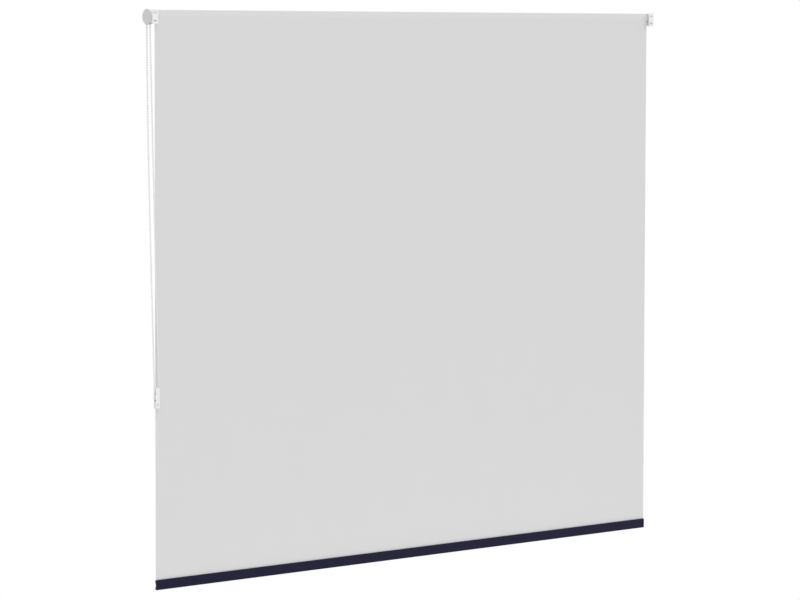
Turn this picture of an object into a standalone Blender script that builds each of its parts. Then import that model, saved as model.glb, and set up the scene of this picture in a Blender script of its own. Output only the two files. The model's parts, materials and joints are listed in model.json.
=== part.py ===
"""Blackout roller blind with a bead-chain clutch, shown fully lowered.

The origin lies on the wall plane, midway along the fabric, at the height of the roller's axis.
+X points to the chain end, -Y into the room and +Z up. All lengths are in metres.
"""

import math

import bmesh
import bpy
from mathutils import Vector

# Whole blind
FABRIC_WIDTH = 1.520
BLIND_DROP = 1.300
FABRIC_THICKNESS = 0.00045
AXIS_TO_WALL = 0.032
GAP = 0.0003
ROUND_STEPS = 48

# Roller tube with its keyway, which holds the fabric's upper edge
TUBE_RADIUS = 0.014
TUBE_WALL = 0.0008
KEYWAY_RADIUS = 0.0011
KEYWAY_LIP = 0.0003
KEYWAY_MOUTH = 0.0012
TUBE_SPLINE_RADIUS = 0.0008
SHEET_LEAD_ANGLE = 30.0

# Brackets, of folded steel
BRACKET_HEIGHT = 0.033
BRACKET_STEEL = 0.0018
BRACKET_BEND = 0.0008
FLANGE_WIDTH = 0.017
FLANGE_CORNER = 0.002
ARM_SHOULDER = 0.012
ARM_NOSE_RADIUS = 0.015
ARM_FABRIC_GAP = 0.0006
SCREW_SLOT_LENGTH = 0.010
SCREW_SLOT_WIDTH = 0.004
SCREW_SLOT_OFFSET = 0.009
GUSSET_REACH = 0.008
GUSSET_THICKNESS = 0.002

# Bead chain and the wheels that it runs on
BEAD_DIAMETER = 0.0045
BEAD_PITCH = 0.006
POCKETS = 6
POCKET_CLEARANCE = 0.00015
WHEEL_SIDE_WALL = 0.0003
WHEEL_TIP = 0.002
CORD_DIAMETER = 0.0014
CORD_GROOVE = 0.002
STRAND_START = 0.0115
STRAND_PIECES = 4
ROOM_STRAND_SAG = 0.004
WALL_STRAND_SAG = 0.0006
STRAND_SAG_POWER = 1.5

# Clutch
CLUTCH_RADIUS = 0.0175
CLUTCH_WALL = 0.0012
CLUTCH_BACK = 0.0008
COVER_THICKNESS = 0.0012
COVER_ROUNDING = 0.0008
COVER_GROOVES = (0.0134, 0.0052)
COVER_GROOVE_WIDTH = 0.0011
COVER_GROOVE_DEPTH = 0.0005
COVER_BOSS_RADIUS = 0.003
COVER_BOSS_HEIGHT = 0.0003
COVER_PIN_LENGTH = 0.0009
COVER_PIN_RADIUS = 0.002
CHAIN_MOUTH_MARGIN = 0.0025
CORE_FLANGE_RADIUS = 0.012
CORE_KEY = 0.007
CORE_KEY_SIDES = 6
CORE_LENGTH = 0.030
CORE_WALL = 0.0023
SPRING_WIRE = 0.001
SPRING_TURNS = 4
SPRING_STEPS = 14
SPRING_TANG_ANGLE = 26.0
FORK_DISC = 0.0018
FORK_FINGER_ANGLE = 16.0
FORK_FINGER_THICKNESS = 0.0012
COLLAR_LENGTH = 0.002

# Hub and plug that fill the tube's ends
HUB_LENGTH = 0.0375
HUB_WALL = 0.0021
HUB_END_WALL = 0.0015
HUB_RIBS = 6
HUB_RIB_WIDTH = 0.0022
HUB_RIB_HEIGHT = 0.0008
HUB_KEY_ANGLE = 46.0
HUB_KEY_WIDTH = 0.003
PLUG_LENGTH = 0.028
PLUG_FLANGE = 0.003
PIN_RADIUS = 0.003
PIN_COLLAR = 0.0046
PIN_COLLAR_LENGTH = 0.0015
PIN_STEM = 0.0018
PIN_ROUNDING = 0.0009
PIN_PROUD = 0.0005
IDLE_ARM_DISTANCE = 0.0087
PIN_SPRING_LENGTH = 0.0165
PIN_SPRING_WIRE = 0.0006
PIN_SPRING_TURNS = 7

# Bottom bar
BAR_HEIGHT = 0.023
BAR_DEPTH = 0.0095
BAR_WALL = 0.0012
BAR_CORNER = 0.0028
BAR_SLOT = 0.0014
BAR_GROOVE_DEPTH = 0.002
BAR_GROOVE_SLOPE = 0.0006
BAR_GROOVE_RISE = 0.0055
BAR_GROOVE_DROP = 0.0081
BAR_CHANNEL_RADIUS = 0.0022
BAR_SPLINE_RADIUS = 0.0016
BAR_END_INSET = 0.001
BAR_CAP_LENGTH = 0.0058
BAR_CAP_SPIGOT = 0.012
BAR_CAP_ROUNDING = 0.0009

# Chain tensioner on the wall
PULLEY_HEIGHT = -0.8485
PULLEY_INSET = 0.0053
PULLEY_SIDE_WALL = 0.0005
TENSIONER_WIDTH = 0.010
TENSIONER_ABOVE_PULLEY = 0.021
TENSIONER_BELOW_PULLEY = 0.025
TENSIONER_PLATE = 0.0015
TENSIONER_HOLE = 0.0035
TENSIONER_HOLE_SIDES = 16
TENSIONER_HOLE_DROP = 0.018
TENSIONER_KEY_SLOT = 0.0022
TENSIONER_KEY_RISE = 0.005
AXLE_RADIUS = 0.0016
AXLE_HEAD = 0.0026
AXLE_HEAD_LENGTH = 0.0008

# Places that follow from the sizes above
EDGE = FABRIC_WIDTH / 2
AXIS = Vector((0.0, -AXIS_TO_WALL, 0.0))
ROLL_RADIUS = TUBE_RADIUS + GAP + FABRIC_THICKNESS
SHEET_RADIUS = ROLL_RADIUS + GAP + FABRIC_THICKNESS / 2
SHEET_Y = SHEET_RADIUS - AXIS_TO_WALL
BAR_BOTTOM = ROLL_RADIUS - BLIND_DROP
BAR_TOP = BAR_BOTTOM + BAR_HEIGHT
CHAMBER_TOP = BAR_TOP - 2 * BAR_WALL - 2 * BAR_CHANNEL_RADIUS
KEYWAY_PLACE = TUBE_RADIUS - KEYWAY_LIP - KEYWAY_RADIUS
PITCH_RADIUS = BEAD_PITCH / 2 / math.sin(math.pi / POCKETS)
POCKET_RADIUS = BEAD_DIAMETER / 2 + POCKET_CLEARANCE
WHEEL_WIDTH = 2 * (POCKET_RADIUS + WHEEL_SIDE_WALL)
TIP_RADIUS = PITCH_RADIUS + WHEEL_TIP
ARM_INNER = EDGE + ARM_FABRIC_GAP
ARM_OUTER = ARM_INNER + BRACKET_STEEL
BACK_OUTER = ARM_OUTER + GAP + CLUTCH_BACK
WHEEL_INNER = BACK_OUTER + GAP
CHAIN_X = WHEEL_INNER + WHEEL_WIDTH / 2
WHEEL_OUTER = WHEEL_INNER + WHEEL_WIDTH
COVER_INNER = WHEEL_OUTER + GAP
CORE_END = EDGE - CORE_LENGTH
FORK_OUTER = CORE_END - GAP
HUB_RADIUS = TUBE_RADIUS - TUBE_WALL - GAP
HUB_BODY = HUB_RADIUS - HUB_RIB_HEIGHT
HUB_BORE = HUB_BODY - HUB_WALL
HUB_END = EDGE - HUB_LENGTH
FINGER_OUTER = HUB_BORE - 2 * GAP
FINGER_INNER = FINGER_OUTER - FORK_FINGER_THICKNESS
SPRING_RADIUS = FINGER_INNER - GAP - SPRING_WIRE / 2
CORE_BARREL_RADIUS = SPRING_RADIUS - SPRING_WIRE / 2 - GAP
SHAFT_RADIUS = CORE_BARREL_RADIUS - CORE_WALL - GAP
PULLEY_X = EDGE + PULLEY_INSET
PULLEY_WIDTH = BEAD_DIAMETER + 2 * PULLEY_SIDE_WALL
PULLEY_Y = -(TENSIONER_PLATE + GAP + PULLEY_WIDTH / 2)
TENSIONER_FRONT_Y = -(TENSIONER_PLATE + 2 * GAP + PULLEY_WIDTH)

# Finishes: colour, roughness, metallic
WHITE_PLASTIC = ((0.83, 0.83, 0.82), 0.38, 0.0)
GREY_PLASTIC = ((0.70, 0.70, 0.70), 0.42, 0.0)
WHITE_PAINT = ((0.84, 0.84, 0.84), 0.35, 0.0)
FABRIC_BACK = ((0.68, 0.68, 0.68), 0.9, 0.0)
ALUMINIUM = ((0.74, 0.75, 0.76), 0.35, 1.0)
SPRING_STEEL = ((0.62, 0.63, 0.65), 0.3, 1.0)
NAVY_PAINT = ((0.021, 0.022, 0.042), 0.45, 0.0)
NAVY_PLASTIC = ((0.019, 0.017, 0.036), 0.5, 0.0)
CHAIN_PLASTIC = ((0.8, 0.8, 0.8), 0.4, 0.0)
SHARP_ANGLE = 38.0


def clear_scene():
    for item in list(bpy.data.objects):
        bpy.data.objects.remove(item, do_unlink=True)


def finish(piece, look):
    """Gives a piece a material of its own."""
    colour, roughness, metallic = look
    material = bpy.data.materials.new(piece.name)
    material.use_nodes = True
    shader = material.node_tree.nodes["Principled BSDF"]
    shader.inputs["Base Color"].default_value = (*colour, 1.0)
    shader.inputs["Roughness"].default_value = roughness
    shader.inputs["Metallic"].default_value = metallic
    piece.data.materials.append(material)


def make(name, shape, look=None, place=(0.0, 0.0, 0.0), turn=(0.0, 0.0, 0.0)):
    """Turns a bmesh into a named object, smooth except at its sharp edges."""
    bmesh.ops.recalc_face_normals(shape, faces=shape.faces)
    mesh = bpy.data.meshes.new(name)
    shape.to_mesh(mesh)
    shape.free()
    mesh.shade_smooth()
    mesh.set_sharp_from_angle(angle=math.radians(SHARP_ANGLE))
    piece = bpy.data.objects.new(name, mesh)
    bpy.context.collection.objects.link(piece)
    piece.location = place
    piece.rotation_euler = turn
    if look:
        finish(piece, look)
    return piece


def combine(piece, shape, operation, place=(0.0, 0.0, 0.0), turn=(0.0, 0.0, 0.0)):
    """Cuts a shape out of a piece, or joins it on, and keeps it as a hidden guide."""
    guide = make(f"{piece.name}_guide", shape, place=place, turn=turn)
    guide.hide_render = True
    guide.display_type = "WIRE"
    modifier = piece.modifiers.new(operation.lower(), "BOOLEAN")
    modifier.operation = operation
    modifier.object = guide
    modifier.solver = "EXACT"


def cut(piece, shape, **where):
    combine(piece, shape, "DIFFERENCE", **where)


def join(piece, shape, **where):
    combine(piece, shape, "UNION", **where)


def spot(first, second, along, axis):
    """A point from its two coordinates in a section and its distance along an axis."""
    return {
        "X": Vector((along, first, second)),
        "Y": Vector((first, along, second)),
        "Z": Vector((first, second, along)),
    }[axis]


def extruded(outline, start, end, axis="X", shape=None):
    """A flat outline pulled along one axis into a closed solid."""
    shape = shape or bmesh.new()
    corners = [shape.verts.new(spot(a, b, start, axis)) for a, b in outline]
    face = shape.faces.new(corners)
    pulled = bmesh.ops.extrude_face_region(shape, geom=[face])["geom"]
    moved = [item for item in pulled if isinstance(item, bmesh.types.BMVert)]
    bmesh.ops.translate(shape, verts=moved, vec=spot(0.0, 0.0, end - start, axis))
    return shape


def turned(profile, ring=False, steps=ROUND_STEPS):
    """A profile of (along, radius) points spun round the X axis; a ring's profile is a loop."""
    shape = bmesh.new()
    points = [shape.verts.new((along, 0.0, radius)) for along, radius in profile]
    pairs = list(zip(points, points[1:]))
    if ring:
        pairs.append((points[-1], points[0]))
    edges = [shape.edges.new(pair) for pair in pairs]
    bmesh.ops.spin(
        shape,
        geom=points + edges,
        cent=(0.0, 0.0, 0.0),
        axis=(1.0, 0.0, 0.0),
        angle=math.tau,
        steps=steps,
        use_merge=True,
    )
    bmesh.ops.remove_doubles(shape, verts=shape.verts, dist=1e-6)
    return shape


def rod(start, end, radius, steps=ROUND_STEPS):
    return turned([(start, 0.0), (start, radius), (end, radius), (end, 0.0)], steps=steps)


def pipe(start, end, inner, outer, steps=ROUND_STEPS):
    return turned([(start, inner), (start, outer), (end, outer), (end, inner)], ring=True, steps=steps)


def lofted(sections):
    """A closed solid through outlines across the X axis, each given with its distance along it."""
    shape = bmesh.new()
    rings = [[shape.verts.new((along, a, b)) for a, b in outline] for along, outline in sections]
    for ring, following in zip(rings, rings[1:]):
        count = len(ring)
        for index in range(count):
            after = (index + 1) % count
            shape.faces.new((ring[index], ring[after], following[after], following[index]))
    shape.faces.new(rings[0])
    shape.faces.new(rings[-1])
    return shape


def arc(centre, radius, start, end, steps):
    """Points along an arc, with its angles in degrees."""
    angles = [math.radians(start + (end - start) * i / steps) for i in range(steps + 1)]
    return [(centre[0] + radius * math.cos(a), centre[1] + radius * math.sin(a)) for a in angles]


def polygon(centre, radius, sides):
    return arc(centre, radius, 0, 360, sides)[:-1]


def box_outline(low, high, corner=0.0, steps=4):
    """A rectangle between two corners, with round corners if a radius is given."""
    if not corner:
        return [low, (high[0], low[1]), high, (low[0], high[1])]
    points = arc((high[0] - corner, high[1] - corner), corner, 0, 90, steps)
    points += arc((low[0] + corner, high[1] - corner), corner, 90, 180, steps)
    points += arc((low[0] + corner, low[1] + corner), corner, 180, 270, steps)
    points += arc((high[0] - corner, low[1] + corner), corner, 270, 360, steps)
    return points


def slot_outline(centre, length, width, upright=False):
    """A slot with round ends, lying or upright."""
    half = (length - width) / 2
    if upright:
        points = arc((centre[0], centre[1] + half), width / 2, 0, 180, 8)
        return points + arc((centre[0], centre[1] - half), width / 2, 180, 360, 8)
    points = arc((centre[0] + half, centre[1]), width / 2, -90, 90, 8)
    return points + arc((centre[0] - half, centre[1]), width / 2, 90, 270, 8)


def pie_ring(inner, outer, middle, half_angle, steps=6):
    """A piece of a ring, seen along its axis, about an angle in degrees."""
    points = arc((0.0, 0.0), outer, middle - half_angle, middle + half_angle, steps)
    return points + arc((0.0, 0.0), inner, middle + half_angle, middle - half_angle, steps)


def bracket(name, arm_inner):
    """A folded wall bracket: a slotted flange on the wall and an arm out to the roller's axis."""
    arm_outer = arm_inner + BRACKET_STEEL
    far = arm_inner + FLANGE_WIDTH
    half = BRACKET_HEIGHT / 2
    bend = BRACKET_BEND + BRACKET_STEEL
    fold = [(far, 0.0), (far, -BRACKET_STEEL)]
    fold += arc((arm_outer + BRACKET_BEND, -bend), BRACKET_BEND, 90, 180, 4)
    fold += [(arm_outer, -ARM_SHOULDER), (arm_inner, -ARM_SHOULDER)]
    fold += arc((arm_inner + bend, -bend), bend, 180, 90, 6)
    piece = make(name, extruded(fold, -half, half, "Z"), WHITE_PAINT)
    flange = [(far - FLANGE_CORNER, -half), (arm_inner - GAP, -half), (arm_inner - GAP, half)]
    flange += arc((far - FLANGE_CORNER, half - FLANGE_CORNER), FLANGE_CORNER, 90, 0, 5)
    flange += arc((far - FLANGE_CORNER, FLANGE_CORNER - half), FLANGE_CORNER, 0, -90, 5)[:-1]
    combine(piece, extruded(flange, -2 * ARM_SHOULDER, GAP, "Y"), "INTERSECT")
    arm = [(-ARM_SHOULDER + GAP, -half), (-ARM_SHOULDER + GAP, half), (-ARM_SHOULDER, half)]
    arm += arc((AXIS.y, AXIS.z), ARM_NOSE_RADIUS, 90, 270, 20)
    arm += [(-ARM_SHOULDER, -half)]
    join(piece, extruded(arm, arm_inner, arm_outer))
    gusset = [
        (arm_outer - GAP, -BRACKET_STEEL + GAP),
        (arm_outer + GUSSET_REACH, -BRACKET_STEEL + GAP),
        (arm_outer + GUSSET_REACH, -BRACKET_STEEL),
        (arm_outer, -BRACKET_STEEL - GUSSET_REACH),
        (arm_outer - GAP, -BRACKET_STEEL - GUSSET_REACH),
    ]
    join(piece, extruded(gusset, -GUSSET_THICKNESS / 2, GUSSET_THICKNESS / 2, "Z"))
    slots = bmesh.new()
    middle = (arm_outer + far) / 2
    for height in (-SCREW_SLOT_OFFSET, SCREW_SLOT_OFFSET):
        outline = slot_outline((middle, height), SCREW_SLOT_LENGTH, SCREW_SLOT_WIDTH)
        extruded(outline, -2 * BRACKET_STEEL, BRACKET_STEEL, "Y", slots)
    cut(piece, slots)
    return piece


def key_outline(centre, clearance=0.0):
    """The clutch core's key, given half its width across the flats."""
    return polygon(centre, (CORE_KEY + clearance) / math.cos(math.pi / CORE_KEY_SIDES), CORE_KEY_SIDES)


def brackets():
    """The chain bracket has a six-sided hole that keys the clutch, the idle one a round hole."""
    chain_side = bracket("bracket_chain_side", ARM_INNER)
    key = key_outline((AXIS.y, AXIS.z), GAP)
    cut(chain_side, extruded(key, ARM_INNER - BRACKET_STEEL, ARM_OUTER + BRACKET_STEEL))
    arm = -EDGE - IDLE_ARM_DISTANCE - BRACKET_STEEL
    idle_side = bracket("bracket_idle_side", arm)
    hole = rod(arm - BRACKET_STEEL, arm + 2 * BRACKET_STEEL, PIN_RADIUS + GAP)
    cut(idle_side, hole, place=AXIS)


def clutch_core():
    """The fixed barrel that the wrap springs grip, keyed in the chain bracket's arm."""
    profile = [
        (CORE_END, 0.0),
        (CORE_END, CORE_BARREL_RADIUS),
        (ARM_OUTER + GAP, CORE_BARREL_RADIUS),
        (ARM_OUTER + GAP, CORE_FLANGE_RADIUS),
        (BACK_OUTER, CORE_FLANGE_RADIUS),
        (BACK_OUTER, 0.0),
    ]
    piece = make("clutch_core", turned(profile), GREY_PLASTIC, AXIS)
    key = extruded(key_outline((0.0, 0.0)), ARM_INNER, ARM_OUTER + GAP + CLUTCH_BACK / 2)
    join(piece, key, place=AXIS)
    cut(piece, rod(CORE_END - GAP, BACK_OUTER + GAP, SHAFT_RADIUS + GAP), place=AXIS)


def clutch_housing():
    """The round shell about the sprocket, open below where the chain runs out."""
    bore = CORE_FLANGE_RADIUS + GAP
    profile = [
        (ARM_OUTER + GAP, bore),
        (ARM_OUTER + GAP, CLUTCH_RADIUS),
        (WHEEL_OUTER, CLUTCH_RADIUS),
        (WHEEL_OUTER, CLUTCH_RADIUS - CLUTCH_WALL),
        (BACK_OUTER, CLUTCH_RADIUS - CLUTCH_WALL),
        (BACK_OUTER, bore),
    ]
    piece = make("clutch_housing", turned(profile, ring=True), WHITE_PLASTIC, AXIS)
    reach = PITCH_RADIUS + BEAD_DIAMETER / 2 + CHAIN_MOUTH_MARGIN
    mouth = box_outline((-reach, -2 * CLUTCH_RADIUS), (reach, -CORE_FLANGE_RADIUS / 2))
    cut(piece, extruded(mouth, BACK_OUTER, WHEEL_OUTER + GAP), place=AXIS)


def clutch_cover():
    """The disc over the sprocket, with ring grooves and a pin that steadies the wheel."""
    face = COVER_INNER + COVER_THICKNESS
    profile = [
        (COVER_INNER - COVER_PIN_LENGTH, 0.0),
        (COVER_INNER - COVER_PIN_LENGTH, COVER_PIN_RADIUS),
        (COVER_INNER, COVER_PIN_RADIUS),
        (COVER_INNER, CLUTCH_RADIUS),
    ]
    profile += arc((face - COVER_ROUNDING, CLUTCH_RADIUS - COVER_ROUNDING), COVER_ROUNDING, 90, 0, 2)
    for radius in COVER_GROOVES:
        outer = radius + COVER_GROOVE_WIDTH / 2
        inner = radius - COVER_GROOVE_WIDTH / 2
        slope = COVER_GROOVE_DEPTH / 2
        profile += [(face, outer), (face - COVER_GROOVE_DEPTH, outer - slope)]
        profile += [(face - COVER_GROOVE_DEPTH, inner + slope), (face, inner)]
    profile += [(face, COVER_BOSS_RADIUS), (face + COVER_BOSS_HEIGHT, COVER_BOSS_RADIUS / 2)]
    profile += [(face + COVER_BOSS_HEIGHT, 0.0)]
    make("clutch_cover", turned(profile), GREY_PLASTIC, AXIS)


def chain_sprocket():
    """A wheel with a pocket for each bead and a groove for the cord, on a long drive shaft."""
    profile = [
        (HUB_END - GAP, 0.0),
        (HUB_END - GAP, SHAFT_RADIUS),
        (WHEEL_INNER, SHAFT_RADIUS),
        (WHEEL_INNER, TIP_RADIUS),
        (WHEEL_OUTER, TIP_RADIUS),
        (WHEEL_OUTER, 0.0),
    ]
    piece = make("chain_sprocket", turned(profile), WHITE_PLASTIC, AXIS)
    groove = pipe(
        CHAIN_X - CORD_GROOVE / 2,
        CHAIN_X + CORD_GROOVE / 2,
        PITCH_RADIUS - CORD_DIAMETER / 2 - GAP,
        2 * TIP_RADIUS,
    )
    cut(piece, groove, place=AXIS)
    beads = bmesh.new()
    for index in range(POCKETS):
        turn = math.tau * index / POCKETS
        made = bmesh.ops.create_uvsphere(beads, u_segments=12, v_segments=8, radius=POCKET_RADIUS)
        centre = (CHAIN_X, PITCH_RADIUS * math.cos(turn), PITCH_RADIUS * math.sin(turn))
        bmesh.ops.translate(beads, verts=made["verts"], vec=centre)
    cut(piece, beads, place=AXIS)
    depth = WHEEL_OUTER - COVER_PIN_LENGTH
    dimple = rod(depth, WHEEL_OUTER + GAP, COVER_PIN_RADIUS + GAP, steps=24)
    cut(piece, dimple, place=AXIS)


def drive_fork():
    """The finger on the shaft's inner end, which turns the springs' tangs loose."""
    disc = pipe(FORK_OUTER - FORK_DISC, FORK_OUTER, SHAFT_RADIUS + GAP, FINGER_OUTER)
    piece = make("drive_fork", disc, GREY_PLASTIC, AXIS)
    finger = pie_ring(FINGER_INNER, FINGER_OUTER, 90, FORK_FINGER_ANGLE)
    start = FORK_OUTER - FORK_DISC / 2
    end = EDGE - 2 * COLLAR_LENGTH
    join(piece, extruded(finger, start, end), place=AXIS)


def wire(name, route, diameter, look, place=(0.0, 0.0, 0.0), widths=None, sides=1, cyclic=False):
    """A round wire or cord along a list of points, with its ends filled."""
    curve = bpy.data.curves.new(name, "CURVE")
    curve.dimensions = "3D"
    curve.bevel_depth = diameter / 2
    curve.bevel_resolution = sides
    curve.use_fill_caps = True
    spline = curve.splines.new("POLY")
    spline.points.add(len(route) - 1)
    spline.use_cyclic_u = cyclic
    for index, (point, target) in enumerate(zip(route, spline.points)):
        target.co = (*point, 1.0)
        target.radius = widths[index] if widths else 1.0
    piece = bpy.data.objects.new(name, curve)
    bpy.context.collection.objects.link(piece)
    piece.location = place
    finish(piece, look)
    return piece


def coil(start, length, radius, turns, steps, start_angle=90.0):
    """Points of a helix about the X axis."""
    count = round(turns * steps)
    points = []
    for index in range(count + 1):
        share = index / count
        angle = math.radians(start_angle) + math.tau * turns * share
        points.append((start + length * share, radius * math.cos(angle), radius * math.sin(angle)))
    return points


def tang(point, reach):
    """Two points that lead a coil's end out, away from its axis."""
    radius = math.hypot(point[1], point[2])
    lead = (radius + reach) / 2 / radius
    tip = reach / radius
    return [
        (point[0], point[1] * lead, point[2] * lead),
        (point[0], point[1] * tip, point[2] * tip),
    ]


def wrap_springs():
    """Two springs that grip the core until the fork's finger pushes one of their tangs."""
    turns = SPRING_TURNS - 2 * SPRING_TANG_ANGLE / 360
    length = turns * (SPRING_WIRE + GAP)
    room = EDGE - 2 * COLLAR_LENGTH - CORE_END
    first = 90.0 + SPRING_TANG_ANGLE
    reach = FINGER_OUTER - SPRING_WIRE / 2
    for index, name in enumerate(("wrap_spring_inner", "wrap_spring_outer")):
        start = CORE_END + room * (2 * index + 1) / 4 - length / 2
        route = coil(start, length, SPRING_RADIUS, turns, SPRING_STEPS, first)
        route = tang(route[0], reach)[::-1] + route + tang(route[-1], reach)
        wire(name, route, SPRING_WIRE, SPRING_STEEL, AXIS)


def ribbed(piece, start, end):
    """Adds the ribs that grip the tube, then the groove that clears its keyway."""
    ribs = bmesh.new()
    for index in range(HUB_RIBS):
        middle = 90 + 360 * (index + 0.5) / HUB_RIBS
        half = math.degrees(HUB_RIB_WIDTH / 2 / HUB_RADIUS)
        extruded(pie_ring(HUB_BODY - GAP, HUB_RADIUS, middle, half, 2), start, end, "X", ribs)
    join(piece, ribs, place=AXIS)
    clear = rod(start - GAP, end + GAP, KEYWAY_RADIUS + TUBE_WALL + GAP, steps=24)
    cut(piece, clear, place=AXIS + Vector((0.0, 0.0, KEYWAY_PLACE)))


def drive_hub():
    """The hub in the tube's chain end, with two keys that the springs' tangs push."""
    start = HUB_END
    end = EDGE - GAP
    profile = [
        (start, SHAFT_RADIUS + GAP),
        (start, HUB_BODY),
        (end, HUB_BODY),
        (end, CORE_BARREL_RADIUS + GAP),
        (end - COLLAR_LENGTH, CORE_BARREL_RADIUS + GAP),
        (end - COLLAR_LENGTH, HUB_BORE),
        (start + HUB_END_WALL, HUB_BORE),
        (start + HUB_END_WALL, SHAFT_RADIUS + GAP),
    ]
    piece = make("drive_hub", turned(profile, ring=True), GREY_PLASTIC, AXIS)
    keys = bmesh.new()
    half = math.degrees(HUB_KEY_WIDTH / 2 / HUB_BORE)
    for side in (-1, 1):
        outline = pie_ring(FINGER_INNER + GAP, HUB_BORE + GAP, 90 + side * HUB_KEY_ANGLE, half, 2)
        extruded(outline, CORE_END, end - COLLAR_LENGTH / 2, "X", keys)
    join(piece, keys, place=AXIS)
    ribbed(piece, start, end)


def keyway_loop(radius, groove, mouth_half, steps):
    """The tube's section: a circle with a round keyway sunk in its top."""
    edge = math.degrees(math.asin(mouth_half / radius))
    lip = math.degrees(math.asin(mouth_half / groove))
    points = arc((0.0, 0.0), radius, 90 + edge, 450 - edge, steps)
    return points + arc((0.0, KEYWAY_PLACE), groove, 90 - lip, -270 + lip, 10)


def roller_tube():
    """A rolled tube of one thickness, whose keyway makes a ridge inside."""
    outer = keyway_loop(TUBE_RADIUS, KEYWAY_RADIUS, KEYWAY_MOUTH / 2, ROUND_STEPS)
    ridge = KEYWAY_RADIUS + TUBE_WALL
    bore = TUBE_RADIUS - TUBE_WALL
    meet_height = (bore**2 + KEYWAY_PLACE**2 - ridge**2) / (2 * KEYWAY_PLACE)
    meet_half = math.sqrt(bore**2 - meet_height**2)
    edge = math.degrees(math.atan2(meet_half, meet_height))
    lip = math.degrees(math.atan2(meet_half, meet_height - KEYWAY_PLACE))
    inner = arc((0.0, 0.0), bore, 90 + edge, 450 - edge, ROUND_STEPS)
    ridge_arc = arc((0.0, KEYWAY_PLACE), ridge, 90 - lip, -270 + lip, 12)
    inner += ridge_arc[1:-1]
    shape = bmesh.new()
    rings = []
    for along, outline in ((-EDGE, outer), (EDGE, outer), (EDGE, inner), (-EDGE, inner)):
        rings.append([shape.verts.new((along, a, b)) for a, b in outline])
    for ring, following in zip(rings, rings[1:] + rings[:1]):
        count = len(ring)
        for index in range(count):
            after = (index + 1) % count
            shape.faces.new((ring[index], ring[after], following[after], following[index]))
    make("roller_tube", shape, ALUMINIUM, AXIS)
    spline = rod(-EDGE, EDGE, TUBE_SPLINE_RADIUS, steps=12)
    make("tube_spline", spline, WHITE_PLASTIC, AXIS + Vector((0.0, 0.0, KEYWAY_PLACE)))


def fabric():
    """The turns of fabric that stay on the tube, and the sheet that hangs from them."""
    roll = pipe(-EDGE, EDGE, TUBE_RADIUS + GAP, ROLL_RADIUS)
    make("fabric_roll", roll, FABRIC_BACK, AXIS)
    inner = ROLL_RADIUS + GAP
    outer = inner + FABRIC_THICKNESS
    bottom = BAR_TOP - BAR_WALL - BAR_CHANNEL_RADIUS + BAR_SPLINE_RADIUS + GAP
    section = arc((AXIS.y, 0.0), inner, SHEET_LEAD_ANGLE, 0, 6) + [(AXIS.y + inner, bottom)]
    section += [(AXIS.y + outer, bottom)] + arc((AXIS.y, 0.0), outer, 0, SHEET_LEAD_ANGLE, 6)
    make("fabric_sheet", extruded(section, -EDGE, EDGE), FABRIC_BACK)


def idle_end():
    """A plug with a spring-loaded pin that snaps into the idle bracket."""
    outer_face = -EDGE - GAP - PLUG_FLANGE
    inner_face = -EDGE + PLUG_LENGTH
    chamber = -EDGE + GAP + PIN_COLLAR_LENGTH / 2
    chamber_radius = PIN_COLLAR + GAP
    profile = [
        (outer_face, PIN_RADIUS + GAP),
        (outer_face, ROLL_RADIUS - GAP),
        (outer_face + GAP, ROLL_RADIUS),
        (-EDGE - GAP, ROLL_RADIUS),
        (-EDGE - GAP, HUB_BODY),
        (inner_face, HUB_BODY),
        (inner_face, chamber_radius),
        (chamber, chamber_radius),
        (chamber, PIN_RADIUS + GAP),
    ]
    plug = make("idle_plug", turned(profile, ring=True), WHITE_PLASTIC, AXIS)
    ribbed(plug, -EDGE + GAP, inner_face)
    collar = chamber + GAP
    collar_end = collar + PIN_COLLAR_LENGTH
    seat = collar_end + 2 * GAP + PIN_SPRING_LENGTH + PIN_SPRING_WIRE
    stem_end = seat + PIN_COLLAR_LENGTH + GAP
    tip = -EDGE - IDLE_ARM_DISTANCE - BRACKET_STEEL - PIN_PROUD
    pin = [
        (tip, 0.0),
        (tip, PIN_RADIUS - PIN_ROUNDING),
        (tip + PIN_ROUNDING, PIN_RADIUS),
        (collar, PIN_RADIUS),
        (collar, PIN_COLLAR),
        (collar_end, PIN_COLLAR),
        (collar_end, PIN_STEM),
        (stem_end, PIN_STEM),
        (stem_end, 0.0),
    ]
    make("idle_pin", turned(pin, steps=24), GREY_PLASTIC, AXIS)
    radius = PIN_STEM + GAP + PIN_SPRING_WIRE / 2
    start = collar_end + GAP + PIN_SPRING_WIRE / 2
    route = coil(start, PIN_SPRING_LENGTH, radius, PIN_SPRING_TURNS, 10)
    wire("idle_pin_spring", route, PIN_SPRING_WIRE, SPRING_STEEL, AXIS)
    cap = pipe(seat, seat + PIN_COLLAR_LENGTH, PIN_STEM + GAP, PIN_COLLAR, steps=24)
    make("idle_plug_cap", cap, GREY_PLASTIC, AXIS)


def bar_outline(inset=0.0):
    """The bar's section, with a shallow groove along its room side."""
    low = (SHEET_Y - BAR_DEPTH / 2 + inset, BAR_BOTTOM + inset)
    high = (SHEET_Y + BAR_DEPTH / 2 - inset, BAR_TOP - inset)
    points = box_outline(low, high, BAR_CORNER - inset, 5)
    groove_low = BAR_BOTTOM + BAR_GROOVE_RISE - inset
    groove_high = BAR_TOP - BAR_GROOVE_DROP + inset
    groove = [
        (low[0], groove_high),
        (low[0] + BAR_GROOVE_DEPTH, groove_high - BAR_GROOVE_SLOPE),
        (low[0] + BAR_GROOVE_DEPTH, groove_low + BAR_GROOVE_SLOPE),
        (low[0], groove_low),
    ]
    half_way = len(points) // 2
    return points[:half_way] + groove + points[half_way:]


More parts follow.
